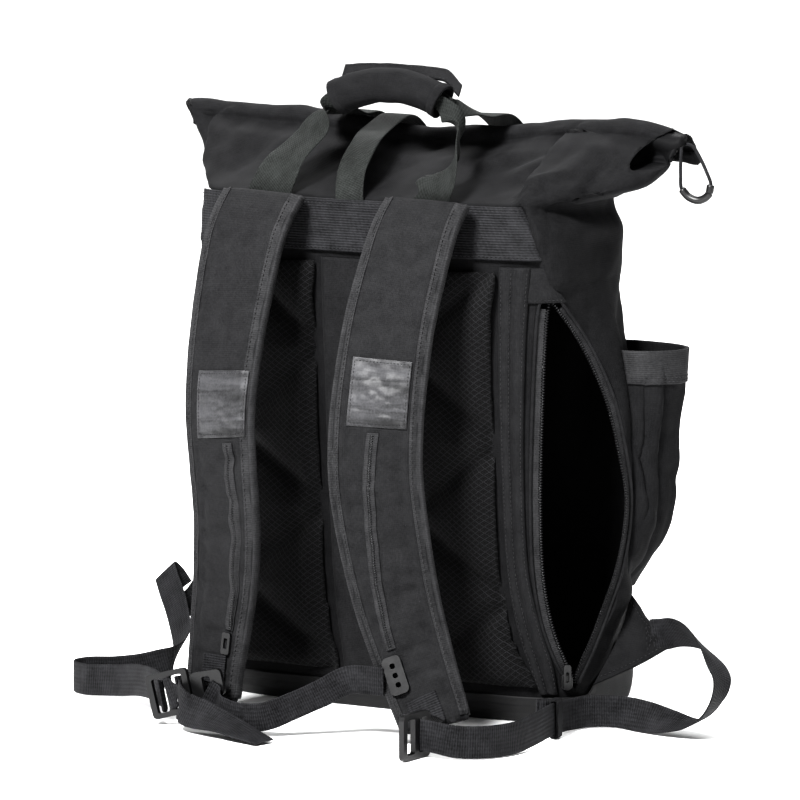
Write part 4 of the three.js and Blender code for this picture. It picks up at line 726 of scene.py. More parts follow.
bodyCloth = {
    "columns": 290, "wall": 0.0022,
    # hollow in the right end of the roll, over the two directions of a plane turned 30 degrees to the harness face
    "mouth": {"across": 0.1950, "up": 0.4291, "lean": 27, "long": 0.034, "short": 0.0105, "deep": 0.034},
    # edges where cloth lies over cloth, over x and z on the harness side: route, width, height
    "edges": [
        ([(-0.1765, 0.4625), (-0.188, 0.457), (-0.197, 0.4505), (-0.1955, 0.444), (-0.190, 0.435), (-0.186, 0.423),
          (-0.184, 0.412)], 0.020, 0.0034),
        ([(0.145, 0.466), (0.136, 0.457), (0.127, 0.451), (0.1255, 0.444), (0.1265, 0.436), (0.128, 0.427),
          (0.128, 0.418), (0.1295, 0.409), (0.133, 0.402)], 0.040, 0.0062),
        ([(0.129, 0.412), (0.136, 0.402), (0.1405, 0.390), (0.1435, 0.378), (0.147, 0.364), (0.152, 0.346),
          (0.158, 0.335)], 0.012, 0.0058),
        ([(0.124, 0.4105), (0.134, 0.4105), (0.146, 0.4095), (0.158, 0.407), (0.168, 0.404)], 0.020, 0.0080),
    ],
    # furrows and ridges there: x0, z0, x1, z1, width, height
    "collarFolds": [
        (0.068, 0.4290, 0.122, 0.4540, 0.0055, 0.0034), (0.078, 0.4240, 0.124, 0.4440, 0.0060, -0.0040),
        (0.104, 0.4240, 0.1260, 0.4330, 0.0050, 0.0030), (0.098, 0.4120, 0.1260, 0.4200, 0.0060, -0.0034),
        (0.150, 0.4180, 0.1700, 0.4540, 0.0100, 0.0030), (0.136, 0.4140, 0.1500, 0.4400, 0.0070, -0.0020),
        (-0.006, 0.4160, 0.0160, 0.4480, 0.0080, -0.0046), (0.018, 0.4080, 0.0480, 0.4380, 0.0080, 0.0034),
        (-0.046, 0.4060, -0.0260, 0.4340, 0.0070, -0.0030), (-0.072, 0.4080, -0.0440, 0.4440, 0.0070, -0.0034),
        (-0.098, 0.4040, -0.0700, 0.4160, 0.0060, 0.0030), (-0.150, 0.4060, -0.1300, 0.4400, 0.0100, -0.0034),
        (-0.172, 0.4100, -0.1500, 0.4520, 0.0100, 0.0030), (-0.126, 0.4300, -0.0800, 0.4520, 0.0080, 0.0026),
        (-0.190, 0.4380, -0.2060, 0.4560, 0.0060, -0.0026), (0.030, 0.4440, 0.0700, 0.4400, 0.0070, -0.0024),
    ],
    # the same on the open side, over y and z
    "sideFolds": [
        (-0.080, 0.402, 0.015, 0.394, 0.009, -0.010), (-0.060, 0.390, 0.045, 0.380, 0.010, 0.004),
        (-0.030, 0.330, 0.030, 0.370, 0.012, 0.0035), (-0.045, 0.300, -0.005, 0.352, 0.009, -0.003),
        (-0.035, 0.120, -0.012, 0.200, 0.012, 0.0025), (-0.020, 0.210, 0.000, 0.290, 0.012, 0.003),
        (-0.040, 0.080, 0.030, 0.105, 0.010, 0.003), (0.020, 0.310, 0.055, 0.350, 0.010, -0.003),
        (0.000, 0.060, 0.050, 0.090, 0.009, -0.003),
    ],
    # and on the hidden front, over x and z
    "frontFolds": [
        (-0.120, 0.390, -0.020, 0.300, 0.018, -0.004), (0.110, 0.395, 0.020, 0.310, 0.018, -0.004),
        (-0.140, 0.120, 0.000, 0.090, 0.016, 0.003), (0.000, 0.100, 0.140, 0.140, 0.016, 0.003),
        (-0.100, 0.220, 0.060, 0.240, 0.020, -0.003), (-0.130, 0.300, -0.090, 0.200, 0.014, 0.003),
        (0.120, 0.320, 0.100, 0.200, 0.014, 0.003), (-0.060, 0.430, -0.040, 0.370, 0.012, -0.003),
        (0.070, 0.430, 0.060, 0.370, 0.012, -0.003),
    ],
}


def rollStations():
    # middle, height, left and right half width, half depth, squareness, turn and rise of each section
    c = collarTable
    rows = [[(b + f) / 2 * bag["depth"], bag["height"] + u * bag["collarRise"], l * bag["ridgeHalf"],
             r * bag["ridgeHalf"], (f - b) / 2 * bag["depth"], q, 0, u]
            for u, b, f, l, r, q in zip(*(c[k] for k in ("up", "back", "front", "left", "right", "square")))]
    radius, reach = 0.009, 0.022
    cy, cz = rows[-1][0] + radius, rows[-1][1] + 0.001
    for degrees, beyond, left in ((150, 0, 0.948), (112, 0, 0.966), (74, 0, 0.984), (37, 0, 1), (37, 0.5 * reach, 1),
                                  (37, reach, 1)):
        a = math.radians(degrees)
        rows.append([cy + radius * math.cos(a) + beyond * math.sin(a), cz + radius * math.sin(a)
                     - beyond * math.cos(a), left * bag["ridgeHalf"], bag["ridgeHalf"], 0.0035, 4, math.pi - a, 1])
    return np.array(rows)


def rollPoint(station, angle):
    # superellipse section tilted about X by its turn, lifted along the ridge's own line
    y, z, left, right, deep, square, turn, rise = (station[:, k:k + 1] for k in range(8))
    c, d = np.cos(angle), np.sin(angle)
    norm = (np.abs(c) ** square + np.abs(d) ** square) ** (1 / square)
    x, depth = np.where(c < 0, left, right) * c / norm, deep * d / norm
    lift = readTable(ridgeTable, "across", np.clip(x / bag["ridgeHalf"], -1, 1), "lift") * bag["collarRise"]
    ease = np.where(x < 0, -bag["leftEase"] * smooth((-x / bag["width"] - 0.3) / 0.15), 0)
    return np.stack([x + mix(ease, bag["ridgeShift"], smooth(rise)), y + depth * np.cos(turn),
                     z - depth * np.sin(turn) + lift * smooth(rise)], -1)


def stepEdge(x, z, route, width, height, crisp=0.003):
    # cloth lying over cloth: the side to the right of a downward line is raised at once, and sinks back further off
    away, signed, along = np.full(x.shape, 9.0), np.zeros(x.shape), np.zeros(x.shape)
    for k, ((x0, z0), (x1, z1)) in enumerate(zip(route, route[1:])):
        gap, t = segmentDistance(x, z, x0, z0, x1, z1)
        side = np.sign((x1 - x0) * (z - z0) - (z1 - z0) * (x - x0))
        nearer = gap < away
        away, signed = np.where(nearer, gap, away), np.where(nearer, gap * side, signed)
        along = np.where(nearer, (k + t) / (len(route) - 1), along)
    ends = smooth(along / 0.12) * smooth((1 - along) / 0.12)
    return height * ends * smooth(signed / crisp + 0.5) * np.exp(-((np.maximum(signed, 0) / width) ** 2))


def makeBody():
    # sections of the trunk, then of collar and roll; each point moves along its normal by folds, edges and noise
    b = bodyCloth
    z = np.r_[np.linspace(bag["foot"], bag["slotBottom"], 6), np.linspace(bag["slotBottom"], bag["slotTop"], 78)[1:],
              np.linspace(bag["slotTop"], bag["height"], 24)[1:]]
    start, end = slotAngle(z, "right"), slotAngle(z, "left") + 2 * np.pi
    table = np.linspace(-np.pi / 2, 2.5 * np.pi, 2400)
    girth = arcLengths(trunkPoint(table, np.full(table.shape, 0.2)))
    s0, s1 = np.interp(start, table, girth), np.interp(end, table, girth)
    # columns stand closer on the open side and on the harness side than on the plain front
    u = np.interp(np.linspace(0, 1, b["columns"]), [0, 0.2, 0.4, 1], [0, 0.12, 0.54, 1])[None, :]
    around = mix(s0[:, None], s1[:, None], u)
    angle = np.interp(around, girth, table)
    trunk = trunkPoint(angle, z[:, None] + 0 * angle)
    foot = trunk[:1] * [1, 1, 1] - [0, 0.003, 0]
    cap = np.concatenate([foot * [k, k, 1] + [0, 0.003, 0] for k in (0.0005, 0.4, 0.8, 0.96)])
    station = rollStations()
    i = np.linspace(0, len(station) - 1, 58)[1:]
    k = np.minimum(i.astype(int), len(station) - 2)
    f = (i - k)[:, None]
    before = np.concatenate([[station[0] * 2 - station[1]], station, [station[-1] * 2 - station[-2]]])
    before[0, 2:6] = station[0, 2:6]
    p0, p1, p2, p3 = before[k], before[k + 1], before[k + 2], before[k + 3]
    rows = 0.5 * (2 * p1 + (p2 - p0) * f + (2 * p0 - 5 * p1 + 4 * p2 - p3) * f**2
                  + (3 * p1 - 3 * p2 + p3 - p0) * f**3)
    top = rollPoint(rows, np.repeat(angle[-1:], len(rows), 0))
    closing = []
    for shrink in (0.75, 0.4, 0.02):
        ring = rows[-1:].copy()
        ring[:, 4] *= shrink
        closing.append(rollPoint(ring, angle[-1:]))
    points = np.concatenate([cap, trunk, top, *closing])
    normal = gridNormals(points)
    x, y, height = points[..., 0], points[..., 1], points[..., 2]
    onBack = smooth((-normal[..., 1] - 0.15) / 0.4)
    onFront = smooth((normal[..., 1] - 0.3) / 0.4)
    onSide = smooth((normal[..., 0] - 0.2) / 0.4)
    onLeft = smooth((-normal[..., 0] - 0.2) / 0.4)
    upper = smooth((height - 0.02) / 0.03)
    calm = 1 - smooth((np.arange(len(points)) - len(cap) - len(trunk) - 26) / 8)[:, None]
    push = folds(x, height, b["collarFolds"]) * onBack * calm + folds(y, height, b["sideFolds"]) * onSide
    for route, width, tall in b["edges"]:
        push += stepEdge(x, height, route, width, tall) * smooth((-normal[..., 1] + 0.2) / 0.4) * calm
    push += folds(x, height, b["frontFolds"]) * onFront + folds(y, height, b["sideFolds"]) * onLeft * 0.7
    run = np.concatenate([np.repeat(around[:1], len(cap), 0), around,
                          np.repeat(around[-1:], len(points) - len(cap) - len(around), 0)])
    rise = np.cumsum(np.r_[0, np.linalg.norm(np.diff(points, axis=0), axis=2).mean(1)])[:, None] + 0 * run
    loose = smooth((height - 0.365) / 0.03) * 0.6 + onSide + onFront * 1.3 + onLeft
    push += loose * (0.0016 * softNoise(run, rise, 0.055, 3) + 0.0007 * softNoise(run, rise, 0.023, 4))
    push *= upper
    rolled = smooth((rise - rise[len(cap) + len(trunk) + 22, 0]) / 0.02)
    push += rolled * (0.0011 * softNoise(x, rise, 0.03, 6) + 0.0006 * softNoise(x, rise * 2, 0.012, 7))
    points = points + normal * push[..., None]
    m = b["mouth"]
    right, up = points @ [0.866, 0.5, 0] - m["across"], points @ [-0.066, 0.115, 0.991] - m["up"]
    c, d = math.cos(math.radians(m["lean"])), math.sin(math.radians(m["lean"]))
    ring = np.hypot((right * c + up * d) / m["long"], (up * c - right * d) / m["short"])
    facing = smooth((normal @ [0.5, -0.866, 0.13] + 0.1) / 0.3) * smooth((points[..., 0] - 0.17) / 0.01)
    points = points - np.array([0.9, -0.3, 0.1]) * (m["deep"] * smooth((1.12 - ring) / 0.3) * facing)[..., None]
    # points of the mouth's hollow that get the dark lining as painted shade
    within = (ring < 1.0) & (facing > 0.5)
    closed = np.r_[np.ones(len(cap), bool), end - start > 2 * np.pi - 1e-4,
                   np.ones(len(points) - len(cap) - len(trunk), bool)]
    joint = (points[closed, 0] + points[closed, -1]) / 2
    points[closed, 0], points[closed, -1] = joint, joint
    piece = makePiece("bodyCloth", points, gridFaces(len(points), b["columns"]),
                      np.stack([run, rise], -1), weld=0.00004)
    wall = piece.modifiers.new("wall", "SOLIDIFY")
    wall.thickness, wall.offset, wall.material_offset = b["wall"], -1, 1
    wall.material_offset_rim = 0
    dress(piece, bodyCanvas, "pack_cloth", "body_shell")
    piece.data.materials.append(liningAndPaintedShade)
    # the lining's dark cloth is laid on the outer faces in the mouth of the roll as painted shade for the hollow: faces
    # there lie nearer to its points than to the others
    centre = np.empty(len(piece.data.polygons) * 3)
    piece.data.polygons.foreach_get("center", centre)
    centre = centre.reshape(-1, 3)
    near = (centre[:, 0] > 0.15) & (centre[:, 2] > 0.41)
    about = ~within & (points[..., 0] > 0.14) & (points[..., 2] > 0.40)
    gap = [np.linalg.norm(centre[near][:, None] - points[part][None], axis=2).min(1) for part in (within, about)]
    index = np.zeros(len(centre), np.int32)
    index[near] = gap[0] < gap[1]
    piece.data.polygons.foreach_set("material_index", index)
    return piece


makeBody()
print("body made")

# Boot

boot = {"wall": 0.0014, "offset": 0.0022, "columns": 240, "backRim": 0.021, "sideRim": 0.058,
        "clear": 0.0002}


def bootRim(angle):
    # low along the harness side, high round the other three
    return mix(boot["backRim"], boot["sideRim"], smooth((np.sin(angle) + 0.45) / 0.4))


def makeBoot():
    # columns at even distances round the foot of the bag
    table = np.linspace(0, 2 * np.pi, 2000)
    girth = arcLengths(trunkPoint(table, 0.03))
    angle = np.interp(np.linspace(0, girth[-1], boot["columns"] + 1)[:-1], girth, table)[None, :]
    rim = bootRim(angle)
    share = np.r_[0, 0.03, 0.07, 0.12, 0.18, np.linspace(0.25, 1, 20)][:, None]
    z = mix(bag["foot"] + 0 * rim, rim, share)
    wall = trunkPoint(angle, z, -boot["offset"])
    wall[..., 2] = np.maximum(boot["clear"], z - bag["foot"] * (1 - smooth(share * 5)))
    base = wall[:1] * [1, 1, 0] + [0, -0.003, boot["clear"]]
    cap = np.concatenate([base * [k, k, 1] + [0, 0.003, 0] for k in (0.0005, 0.3, 0.6, 0.85, 0.96)])
    points = np.concatenate([cap, wall])
    normal = gridNormals(points)
    run = girth[-1] * np.linspace(0, 1, boot["columns"] + 1)[:-1][None, :] + 0 * points[..., 0]
    rise = np.cumsum(np.r_[0, np.linalg.norm(np.diff(points, axis=0), axis=2).mean(1)])[:, None] + 0 * run
    lower = smooth((points[..., 2] - 0.004) / 0.01)
    push = lower * (0.0007 * softNoise(run, rise, 0.03, 11) + 0.0004 * softNoise(run, rise, 0.012, 12))
    fromRim = rim - points[..., 2]
    push += 0.0007 * (np.abs(fromRim - 0.0035) < 0.0035) * (points[..., 2] > 0.01)
    points = points + normal * np.maximum(push, 0)[..., None]
    piece = makePiece("baseBoot", points, gridFaces(len(points), boot["columns"], closed=True),
                      np.stack([run, rise], -1), weld=0.00004)
    skin = piece.modifiers.new("wall", "SOLIDIFY")
    skin.thickness, skin.offset = boot["wall"], -1
    dress(piece, bootCloth, "boot_cloth", "base_boot")


makeBoot()
print("boot made")


# Harness face: yoke band, spine panel, borders and the two pads

harness = {
    "yokeSpread": 51, "yokeLow": 0.362, "yokeHigh": 0.403, "top": 0.357, "foot": 0.067,
    "edges": {"up": [0.03, 0.12, 0.22, 0.34, 0.55, 0.8, 1], "spine": [0.085, 0.095, 0.107, 0.112, 0.112, 0.112, 0.112],
              "pad": [0.44, 0.405, 0.376, 0.358, 0.353, 0.354, 0.36],
              "border": [0.462, 0.455, 0.43, 0.408, 0.405, 0.415, 0.43]},
    "zigzag": [(1, 1.0), (0, 0.8), (1, 0.61), (0, 0.45), (1, 0.27), (0, 0.1), (1, -0.06)],
    "padThickness": 0.011, "furrow": 0.0092, "furrowWidth": 0.0065,
}


def panelEdge(share, column):
    # distance of a seam from the middle, read at the share of the height
    return readTable(harness["edges"], "up", share, column) * bag["width"]


def normalsOf(surface, u, v, step=1e-3):
    # cross product of the surface's two slopes at given places
    du = surface(np.minimum(1, u + step), v) - surface(np.maximum(0, u - step), v)
    dv = surface(u, np.minimum(1, v + step)) - surface(u, np.maximum(0, v - step))
    return unit(np.cross(du, dv))


def seamRow(surface, u0, v0, u1, v1, lift, steps=160):
    # path and normals of a seam that runs straight over a surface's own u and v
    t = np.linspace(0, 1, steps)
    u, v = mix(u0, u1, t), mix(v0, v1, t)
    normal = normalsOf(surface, u, v)
    return surface(u, v) + normal * lift, normal


def sew(name, seams, slot="pack_cloth", **sizes):
    # one piece of thread for several seams
    arrays = [stitchArrays(path, normal, **sizes) for path, normal in seams]
    piece = makePiece(name, *joinArrays(arrays))
    return dress(piece, thread, slot)


def makeSlab(name, surface, uSteps, vSteps, thick, lift, material, slot, *nodes, rim=0.0):
    # slab over a surface, dressed
    piece = makePiece(name, *slabArrays(surface, uSteps, vSteps, thick, lift, rim))
    return dress(piece, material, slot, *nodes)


def yokeSurface(u, v):
    # trunk surface between two angles and two heights, its right end slanting
    left, right = np.radians(harness["yokeSpread"]), np.radians(mix(harness["yokeSpread"] + 0.5, 44.5, v))
    return trunkPoint(mix(-np.pi / 2 - left, -np.pi / 2 + right, u), mix(harness["yokeLow"], harness["yokeHigh"], v))


def spineSurface(u, v):
    # back surface between the two inner seams
    share = mix(harness["foot"], 1, v)
    half = panelEdge(share, "spine") - 0.0003
    return backPoint(mix(-half, half, u), share * harness["top"])


def borderSurface(side):
    # back surface between the pad's outer seam and the border's edge
    def surface(u, v):
        share = mix(harness["foot"], 1, v)
        across = u if side > 0 else 1 - u
        return backPoint(side * mix(panelEdge(share, "pad") + 0.0003, panelEdge(share, "border"), across),
                         share * harness["top"])
    return surface


def padSurface(side):
    # back surface between the inner and the outer seam of the pad
    def surface(u, v):
        share = mix(harness["foot"], 1, v)
        across = u if side > 0 else 1 - u
        return backPoint(side * mix(panelEdge(share, "spine") + 0.0003, panelEdge(share, "pad") - 0.0003, across),
                         share * harness["top"])
    return surface


def yokeThickness(u, v):
    # a turned hem along both long edges, and slight waves where the cloth is gathered
    hem = 0.0007 * (smooth((v - 0.8) / 0.03) + smooth((0.16 - v) / 0.03))
    ends = smooth(np.minimum(u, 1 - u) / 0.02)
    return mix(0.0002, 0.0013 + hem + 0.0004 * softNoise(u * 0.3, v * 0.04, 0.012, 21), ends)


makeSlab("yokeRipstop", yokeSurface, 160, 24, yokeThickness, 0.0009, ripstop, "ripstop", "yoke_band")
makeSlab("spineCanvas", spineSurface, 24, 150, lambda u, v: 0.0012 + 0.0005 * np.sin(np.pi * u)
         + 0.0006 * softNoise(u * 0.07, v * 0.33, 0.03, 22), 0.0006, canvas, "pack_cloth", "spine_panel")


def borderThickness(u, v):
    # two rounded welts side by side with a sewn-down groove between them
    welts = np.abs(np.sin(2 * np.pi * clamp(u))) ** 0.6
    return 0.0019 + 0.0026 * welts + 0.0004 * softNoise(u * 0.02, v * 0.33, 0.014, 23)


for side, word in ((-1, "Left"), (1, "Right")):
    makeSlab(f"border{word}", borderSurface(side), 20, 200, borderThickness, 0.0006, canvas, "pack_cloth",
             f"back_border_{word.lower()}")


swelling = {"pressure": 4.0, "mass": 0.3, "frames": 20}


def swell(piece, voxel, cap):
    # remeshed evenly, blown up as cloth, and held within a cap of where each point began
    def bake():
        graph = bpy.context.evaluated_depsgraph_get()
        old = piece.data
        piece.data = bpy.data.meshes.new_from_object(piece.evaluated_get(graph))
        piece.modifiers.clear()
        bpy.data.meshes.remove(old)
    even = piece.modifiers.new("even", "REMESH")
    even.mode, even.voxel_size = "VOXEL", voxel
    bake()
    count = len(piece.data.vertices)
    start = np.empty(count * 3)
    piece.data.vertices.foreach_get("co", start)
    cloth = piece.modifiers.new("swell", "CLOTH")
    cloth.settings.use_pressure = True
    cloth.settings.uniform_pressure_force = swelling["pressure"]
    cloth.settings.effector_weights.gravity = 0
    cloth.settings.mass = swelling["mass"]
    scene = bpy.context.scene
    for frameNumber in range(1, swelling["frames"] + 1):
        scene.frame_set(frameNumber)
    graph = bpy.context.evaluated_depsgraph_get()
    swollen = piece.evaluated_get(graph).to_mesh()
    end = np.empty(count * 3)
    swollen.vertices.foreach_get("co", end)
    piece.modifiers.clear()
    scene.frame_set(1)
    move = (end - start).reshape(-1, 3)
    far = np.linalg.norm(move, axis=1, keepdims=True)
    held = start.reshape(-1, 3) + move * np.minimum(1, cap / np.maximum(far, 1e-9))
    piece.data.vertices.foreach_set("co", held.ravel())
    fine = piece.modifiers.new("fine", "SUBSURF")
    fine.levels, fine.render_levels = 1, 1
    bake()
    piece.data.shade_smooth()
    return piece


def padHeight(across, v):
    # half of the thickness at the edges, rising smoothly to 0.8 of it inside
    edge = smooth(np.minimum(across, 1 - across) * 6) * smooth(np.minimum(v, 1 - v) * 22)
    return mix(0.5, 0.8, edge) * harness["padThickness"]


def makePad(side, word):
    # slab swollen as cloth, then pressed in along the zigzag
    surface = padSurface(side)
    piece = makePiece(f"pad{word}", *slabArrays(surface, 26, 90, padHeight, 0.0009))
    piece.data.materials.append(airMesh)
    swell(piece, 0.004, 0.005)
    # sewn channels drawn into the swollen pad: depth falls off with the distance to the zigzag
    count = len(piece.data.vertices)
    points = np.empty(count * 3)
    piece.data.vertices.foreach_get("co", points)
    points = points.reshape(-1, 3)
    share = points[:, 2] / harness["top"]
    inner, outer = panelEdge(share, "spine"), panelEdge(share, "pad")
    across = (np.abs(points[:, 0]) - inner) / (outer - inner)
    wide = 0.25 * bag["width"]
    near = np.full(count, 1.0)
    corners = harness["zigzag"]
    for (a0, u0), (a1, u1) in zip(corners, corners[1:]):
        away, _ = segmentDistance(across * wide, share * harness["top"], a0 * wide, u0 * harness["top"],
                                  a1 * wide, u1 * harness["top"])
        near = np.minimum(near, away)
    depth = harness["furrow"] * (0.55 * np.exp(-((near / harness["furrowWidth"]) ** 2))
                                 + 0.45 * np.exp(-((near / (2.6 * harness["furrowWidth"])) ** 2)))
    base = backPoint(points[:, 0], points[:, 2])[:, 1]
    outside = clamp((base - points[:, 1]) / harness["padThickness"])
    waves = 0.0007 * softNoise(points[:, 0], points[:, 2], 0.02, 31 + side)
    points[:, 1] += (depth * smooth(np.minimum(across, 1 - across) * 9) + waves) * smooth(outside * 2.2)
    piece.data.vertices.foreach_set("co", points.ravel())
    piece.data.update()
    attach(piece, "root")
    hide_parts(f"back_pad_{word.lower()}")


makePad(-1, "Left")
makePad(1, "Right")
print("harness face made")

# Zip of the side compartment

# tape and coil lie this far into the opening from the slot's edge, or less where the slot is narrow
sideZip = {"tapeWidth": 0.008, "tapeThickness": 0.0009, "tapeIn": 0.0046, "tapeUnder": 0.0011,
           "coilIn": 0.0082, "coilUnder": 0.0007, "toothPitch": 0.0022, "weltRadius": 0.0014,
           "low": 0.012, "high": 0.988}


def zipEdge(side):
    # path, direction into the opening and outward direction along one edge of the slot, and half its width
    share = np.linspace(sideZip["low"], sideZip["high"], 140)
    z = mix(bag["slotBottom"], bag["slotTop"], share)
    sign = 1 if side == "left" else -1
    angle = slotAngle(z, side)
    point = trunkPoint(angle, z)
    ahead = unit(trunkPoint(angle + sign * 0.02, z) - point)
    outward = unit(np.cross(ahead, np.array([0, 0, 1.0])) * sign)
    across = trunkPoint(slotAngle(z, "right"), z) - trunkPoint(slotAngle(z, "left"), z)
    return point, ahead, outward, np.linalg.norm(across, axis=1)[:, None] / 2


def makeZip(side, node):
    # along one edge: the tape is a ribbon, the coil a row of small bars, the welt a tube
    point, ahead, outward, room = zipEdge(side)
    middle = point + ahead * np.minimum(sideZip["tapeIn"], 0.5 * room) - outward * sideZip["tapeUnder"]
    rows = np.concatenate([middle, ahead, np.clip(0.9 * room, 0.0012, sideZip["tapeWidth"])], 1)[::7]
    tape = ribbonArrays(rows, 150, sideZip["tapeThickness"], wave=0.0004, seed=5)
    dress(makePiece(f"zipTape{side.title()}", *tape, turn=True), grosgrain, "zip", node)
    coil = point + ahead * np.minimum(sideZip["coilIn"], 0.9 * room) - outward * sideZip["coilUnder"]
    teeth = stitchArrays(coil, outward, pitch=sideZip["toothPitch"], long=0.0014, wide=0.0034, high=0.0013)
    dress(makePiece(f"zipCoil{side.title()}", *teeth), coilNylon, "zip")
    welt = tubeArrays(point + ahead * 0.0006 + outward * 0.0004, sideZip["weltRadius"], 8)
    dress(makePiece(f"zipWelt{side.title()}", *welt, turn=True), canvas, "pack_cloth")


makeZip("left", "zip_tape_back")
makeZip("right", "zip_tape_side")


def topTabSurface(u, v):
    # small patch across the zip's upper end, on the body's own surface
    z = mix(0.3295, 0.3565, v)
    return trunkPoint(mix(slotAngle(z, "left") - 0.13, slotAngle(z, "right") + 0.03, u), z)


makeSlab("zipTopTab", topTabSurface, 30, 24, lambda u, v: 0.0012 + 0.0004 * smooth(np.minimum(v, 1 - v) * 8), 0.0008,
         canvas, "pack_cloth")
sew("zipTabThread", [seamRow(topTabSurface, 0.05, 0.08, 0.95, 0.08, 0.0022, 40)])


def softCopy(name, node, material, slot, width, segments=2):
    # the moulded piece again, its corners merged and rounded
    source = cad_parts[node]
    mesh = source.data.copy()
    work = bmesh.new()
    work.from_mesh(mesh)
    bmesh.ops.remove_doubles(work, verts=work.verts, dist=0.00002)
    bmesh.ops.dissolve_limit(work, angle_limit=math.radians(1), verts=work.verts, edges=work.edges)
    work.to_mesh(mesh)
    work.free()
    mesh.materials.clear()
    piece = bpy.data.objects.new(name, mesh)
    bpy.context.scene.collection.objects.link(piece)
    for face in mesh.polygons:
        face.use_smooth = False
    bevelEdges(piece, width, segments)
    return dress(piece, material, slot, node)


softCopy("zipSliderBody", "zip_slider", sliderMetal, "zip", 0.001, 3)
softCopy("zipPullTab", "zip_puller", sliderMetal, "zip", 0.0006)
print("side zip made")

# Side pocket

pocket = {
    "low": 0.097, "high": 0.288, "reach": 0.054, "wall": 0.0018, "rear": -0.01, "front": 0.46, "standOff": -0.004,
    "swell": {"up": [0, 0.1, 0.22, 0.3, 0.45, 0.66, 0.86, 1], "reach": [0, 0.3, 0.58, 0.7, 0.8, 0.83, 0.97, 1]},
    # furrows over the width and height shares: u0, v0, u1, v1, width, height
    "folds": [(0.16, 0.84, 0.20, 0.34, 0.028, -0.0055), (0.06, 0.62, 0.24, 0.46, 0.035, -0.0045),
              (0.10, 0.40, 0.32, 0.28, 0.04, 0.0040), (0.30, 0.86, 0.44, 0.10, 0.045, -0.0035),
              (0.55, 0.80, 0.60, 0.20, 0.05, 0.0030), (0.24, 0.92, 0.28, 0.60, 0.03, 0.0035),
              (0.75, 0.80, 0.82, 0.30, 0.04, -0.0030), (0.10, 0.20, 0.50, 0.12, 0.05, 0.0030),
              (0.36, 0.52, 0.64, 0.44, 0.04, -0.0028)],
}


def pocketBase(u, v):
    # half-round plan that swells out of the side, its reach read up the pocket
    bulge = np.sin(np.pi * clamp(u)) ** 0.75
    z = mix(pocket["low"], pocket["high"], v)
    y = mix(pocket["rear"], pocket["front"], (1 - np.cos(np.pi * u)) / 2) * bag["depth"]
    base = trunkSection(z)[2] + pocket["reach"] * readTable(pocket["swell"], "up", v, "reach")
    side = sidePoint(y, z)
    x = mix(side[..., 0] + pocket["standOff"], np.maximum(base, side[..., 0]), bulge)
    return np.stack([x, y, z], -1)


def pocketSurface(u, v):
    # the plan with folds and noise added outward, fading to its seams
    point = pocketBase(u, v)
    inside = smooth(np.minimum(u, 1 - u) * 8) * smooth((1 - v) * 9)
    point[..., 0] += inside * (folds(u, v, pocket["folds"]) + 0.0012 * softNoise(u * 0.15, v * 0.19, 0.035, 41)
                               + 0.0004 * softNoise(u * 0.15, v * 0.19, 0.013, 42))
    return point


def hemSurface(u, v):
    # strip along the pocket's mouth
    return pocketSurface(mix(0.03, 0.97, u), mix(1 - 0.026 / 0.191, 1, v))


makeSlab("pocketCloth", pocketSurface, 90, 110, pocket["wall"], 0.0006, bodyCanvas, "pack_cloth", "side_pocket")
makeSlab("pocketBand", hemSurface, 90, 16, lambda u, v: 0.0011 + 0.0003 * softNoise(u * 0.15, v * 0.03, 0.01, 43),
         0.0026, grosgrain, "pack_cloth", "pocket_hem")
sew("pocketThread", [seamRow(hemSurface, 0.02, v, 0.98, v, 0.0038) for v in (0.09, 0.2)])

# Wings that carry the lower webbings

wing = {"lowShare": 0.068, "highShare": 0.238, "rearY": -0.19, "frontY": 0.1, "thickness": 0.0024,
        "tipLow": (0.676, -0.04, 0.143), "tipHigh": (0.633, -0.04, 0.186)}


def wingSurface(side):
    # straight lines from the side's surface to the tip, sagging by a sine
    def surface(u, v):
        z = mix(wing["lowShare"], wing["highShare"], v) * bag["height"]
        y = mix(wing["rearY"], wing["frontY"], v) * bag["depth"]
        root = sidePoint(y, z, side)
        root[..., 0] += side * (0.0028 + (0.0009 if side > 0 else 0.0003))
        low, high = place(*wing["tipLow"]), place(*wing["tipHigh"])
        tip = (low + (high - low) * v[..., None]) * np.array([side, 1, 1])
        sag = np.sin(np.pi * u)[..., None] * np.array([0, 0.0018, -0.0012])
        point = mix(root, tip, u[..., None]) + sag
        point[..., 1] += 0.0012 * softNoise(u * 0.06, v * 0.07, 0.018, 51) * smooth(u * 5)
        return point
    return surface


for side, word in ((-1, "Left"), (1, "Right")):
    surface = wingSurface(side)
    makeSlab(f"wing{word}", surface, 40, 40, wing["thickness"], -wing["thickness"] / 2, bodyCanvas, "pack_cloth",
             f"wing_tab_{word.lower()}")
    face = -1 if side > 0 else 1
    seams = []
    for u0, v0, u1, v1 in ((0.03, 0.08, 0.97, 0.12), (0.03, 0.92, 0.97, 0.88), (0.72, 0.2, 0.72, 0.8),
                           (0.95, 0.2, 0.95, 0.8), (0.72, 0.2, 0.95, 0.8), (0.72, 0.8, 0.95, 0.2)):
        path, normal = seamRow(surface, u0, v0, u1, v1, 0.0, 60)
        toBack = np.where(normal[:, 1:2] < 0, normal, -normal)
        seams.append((path + toBack * (wing["thickness"] / 2 + 0.0001), toBack))
    sew(f"wingThread{word}", seams)
print("pocket and wings made")

# Shoulder straps

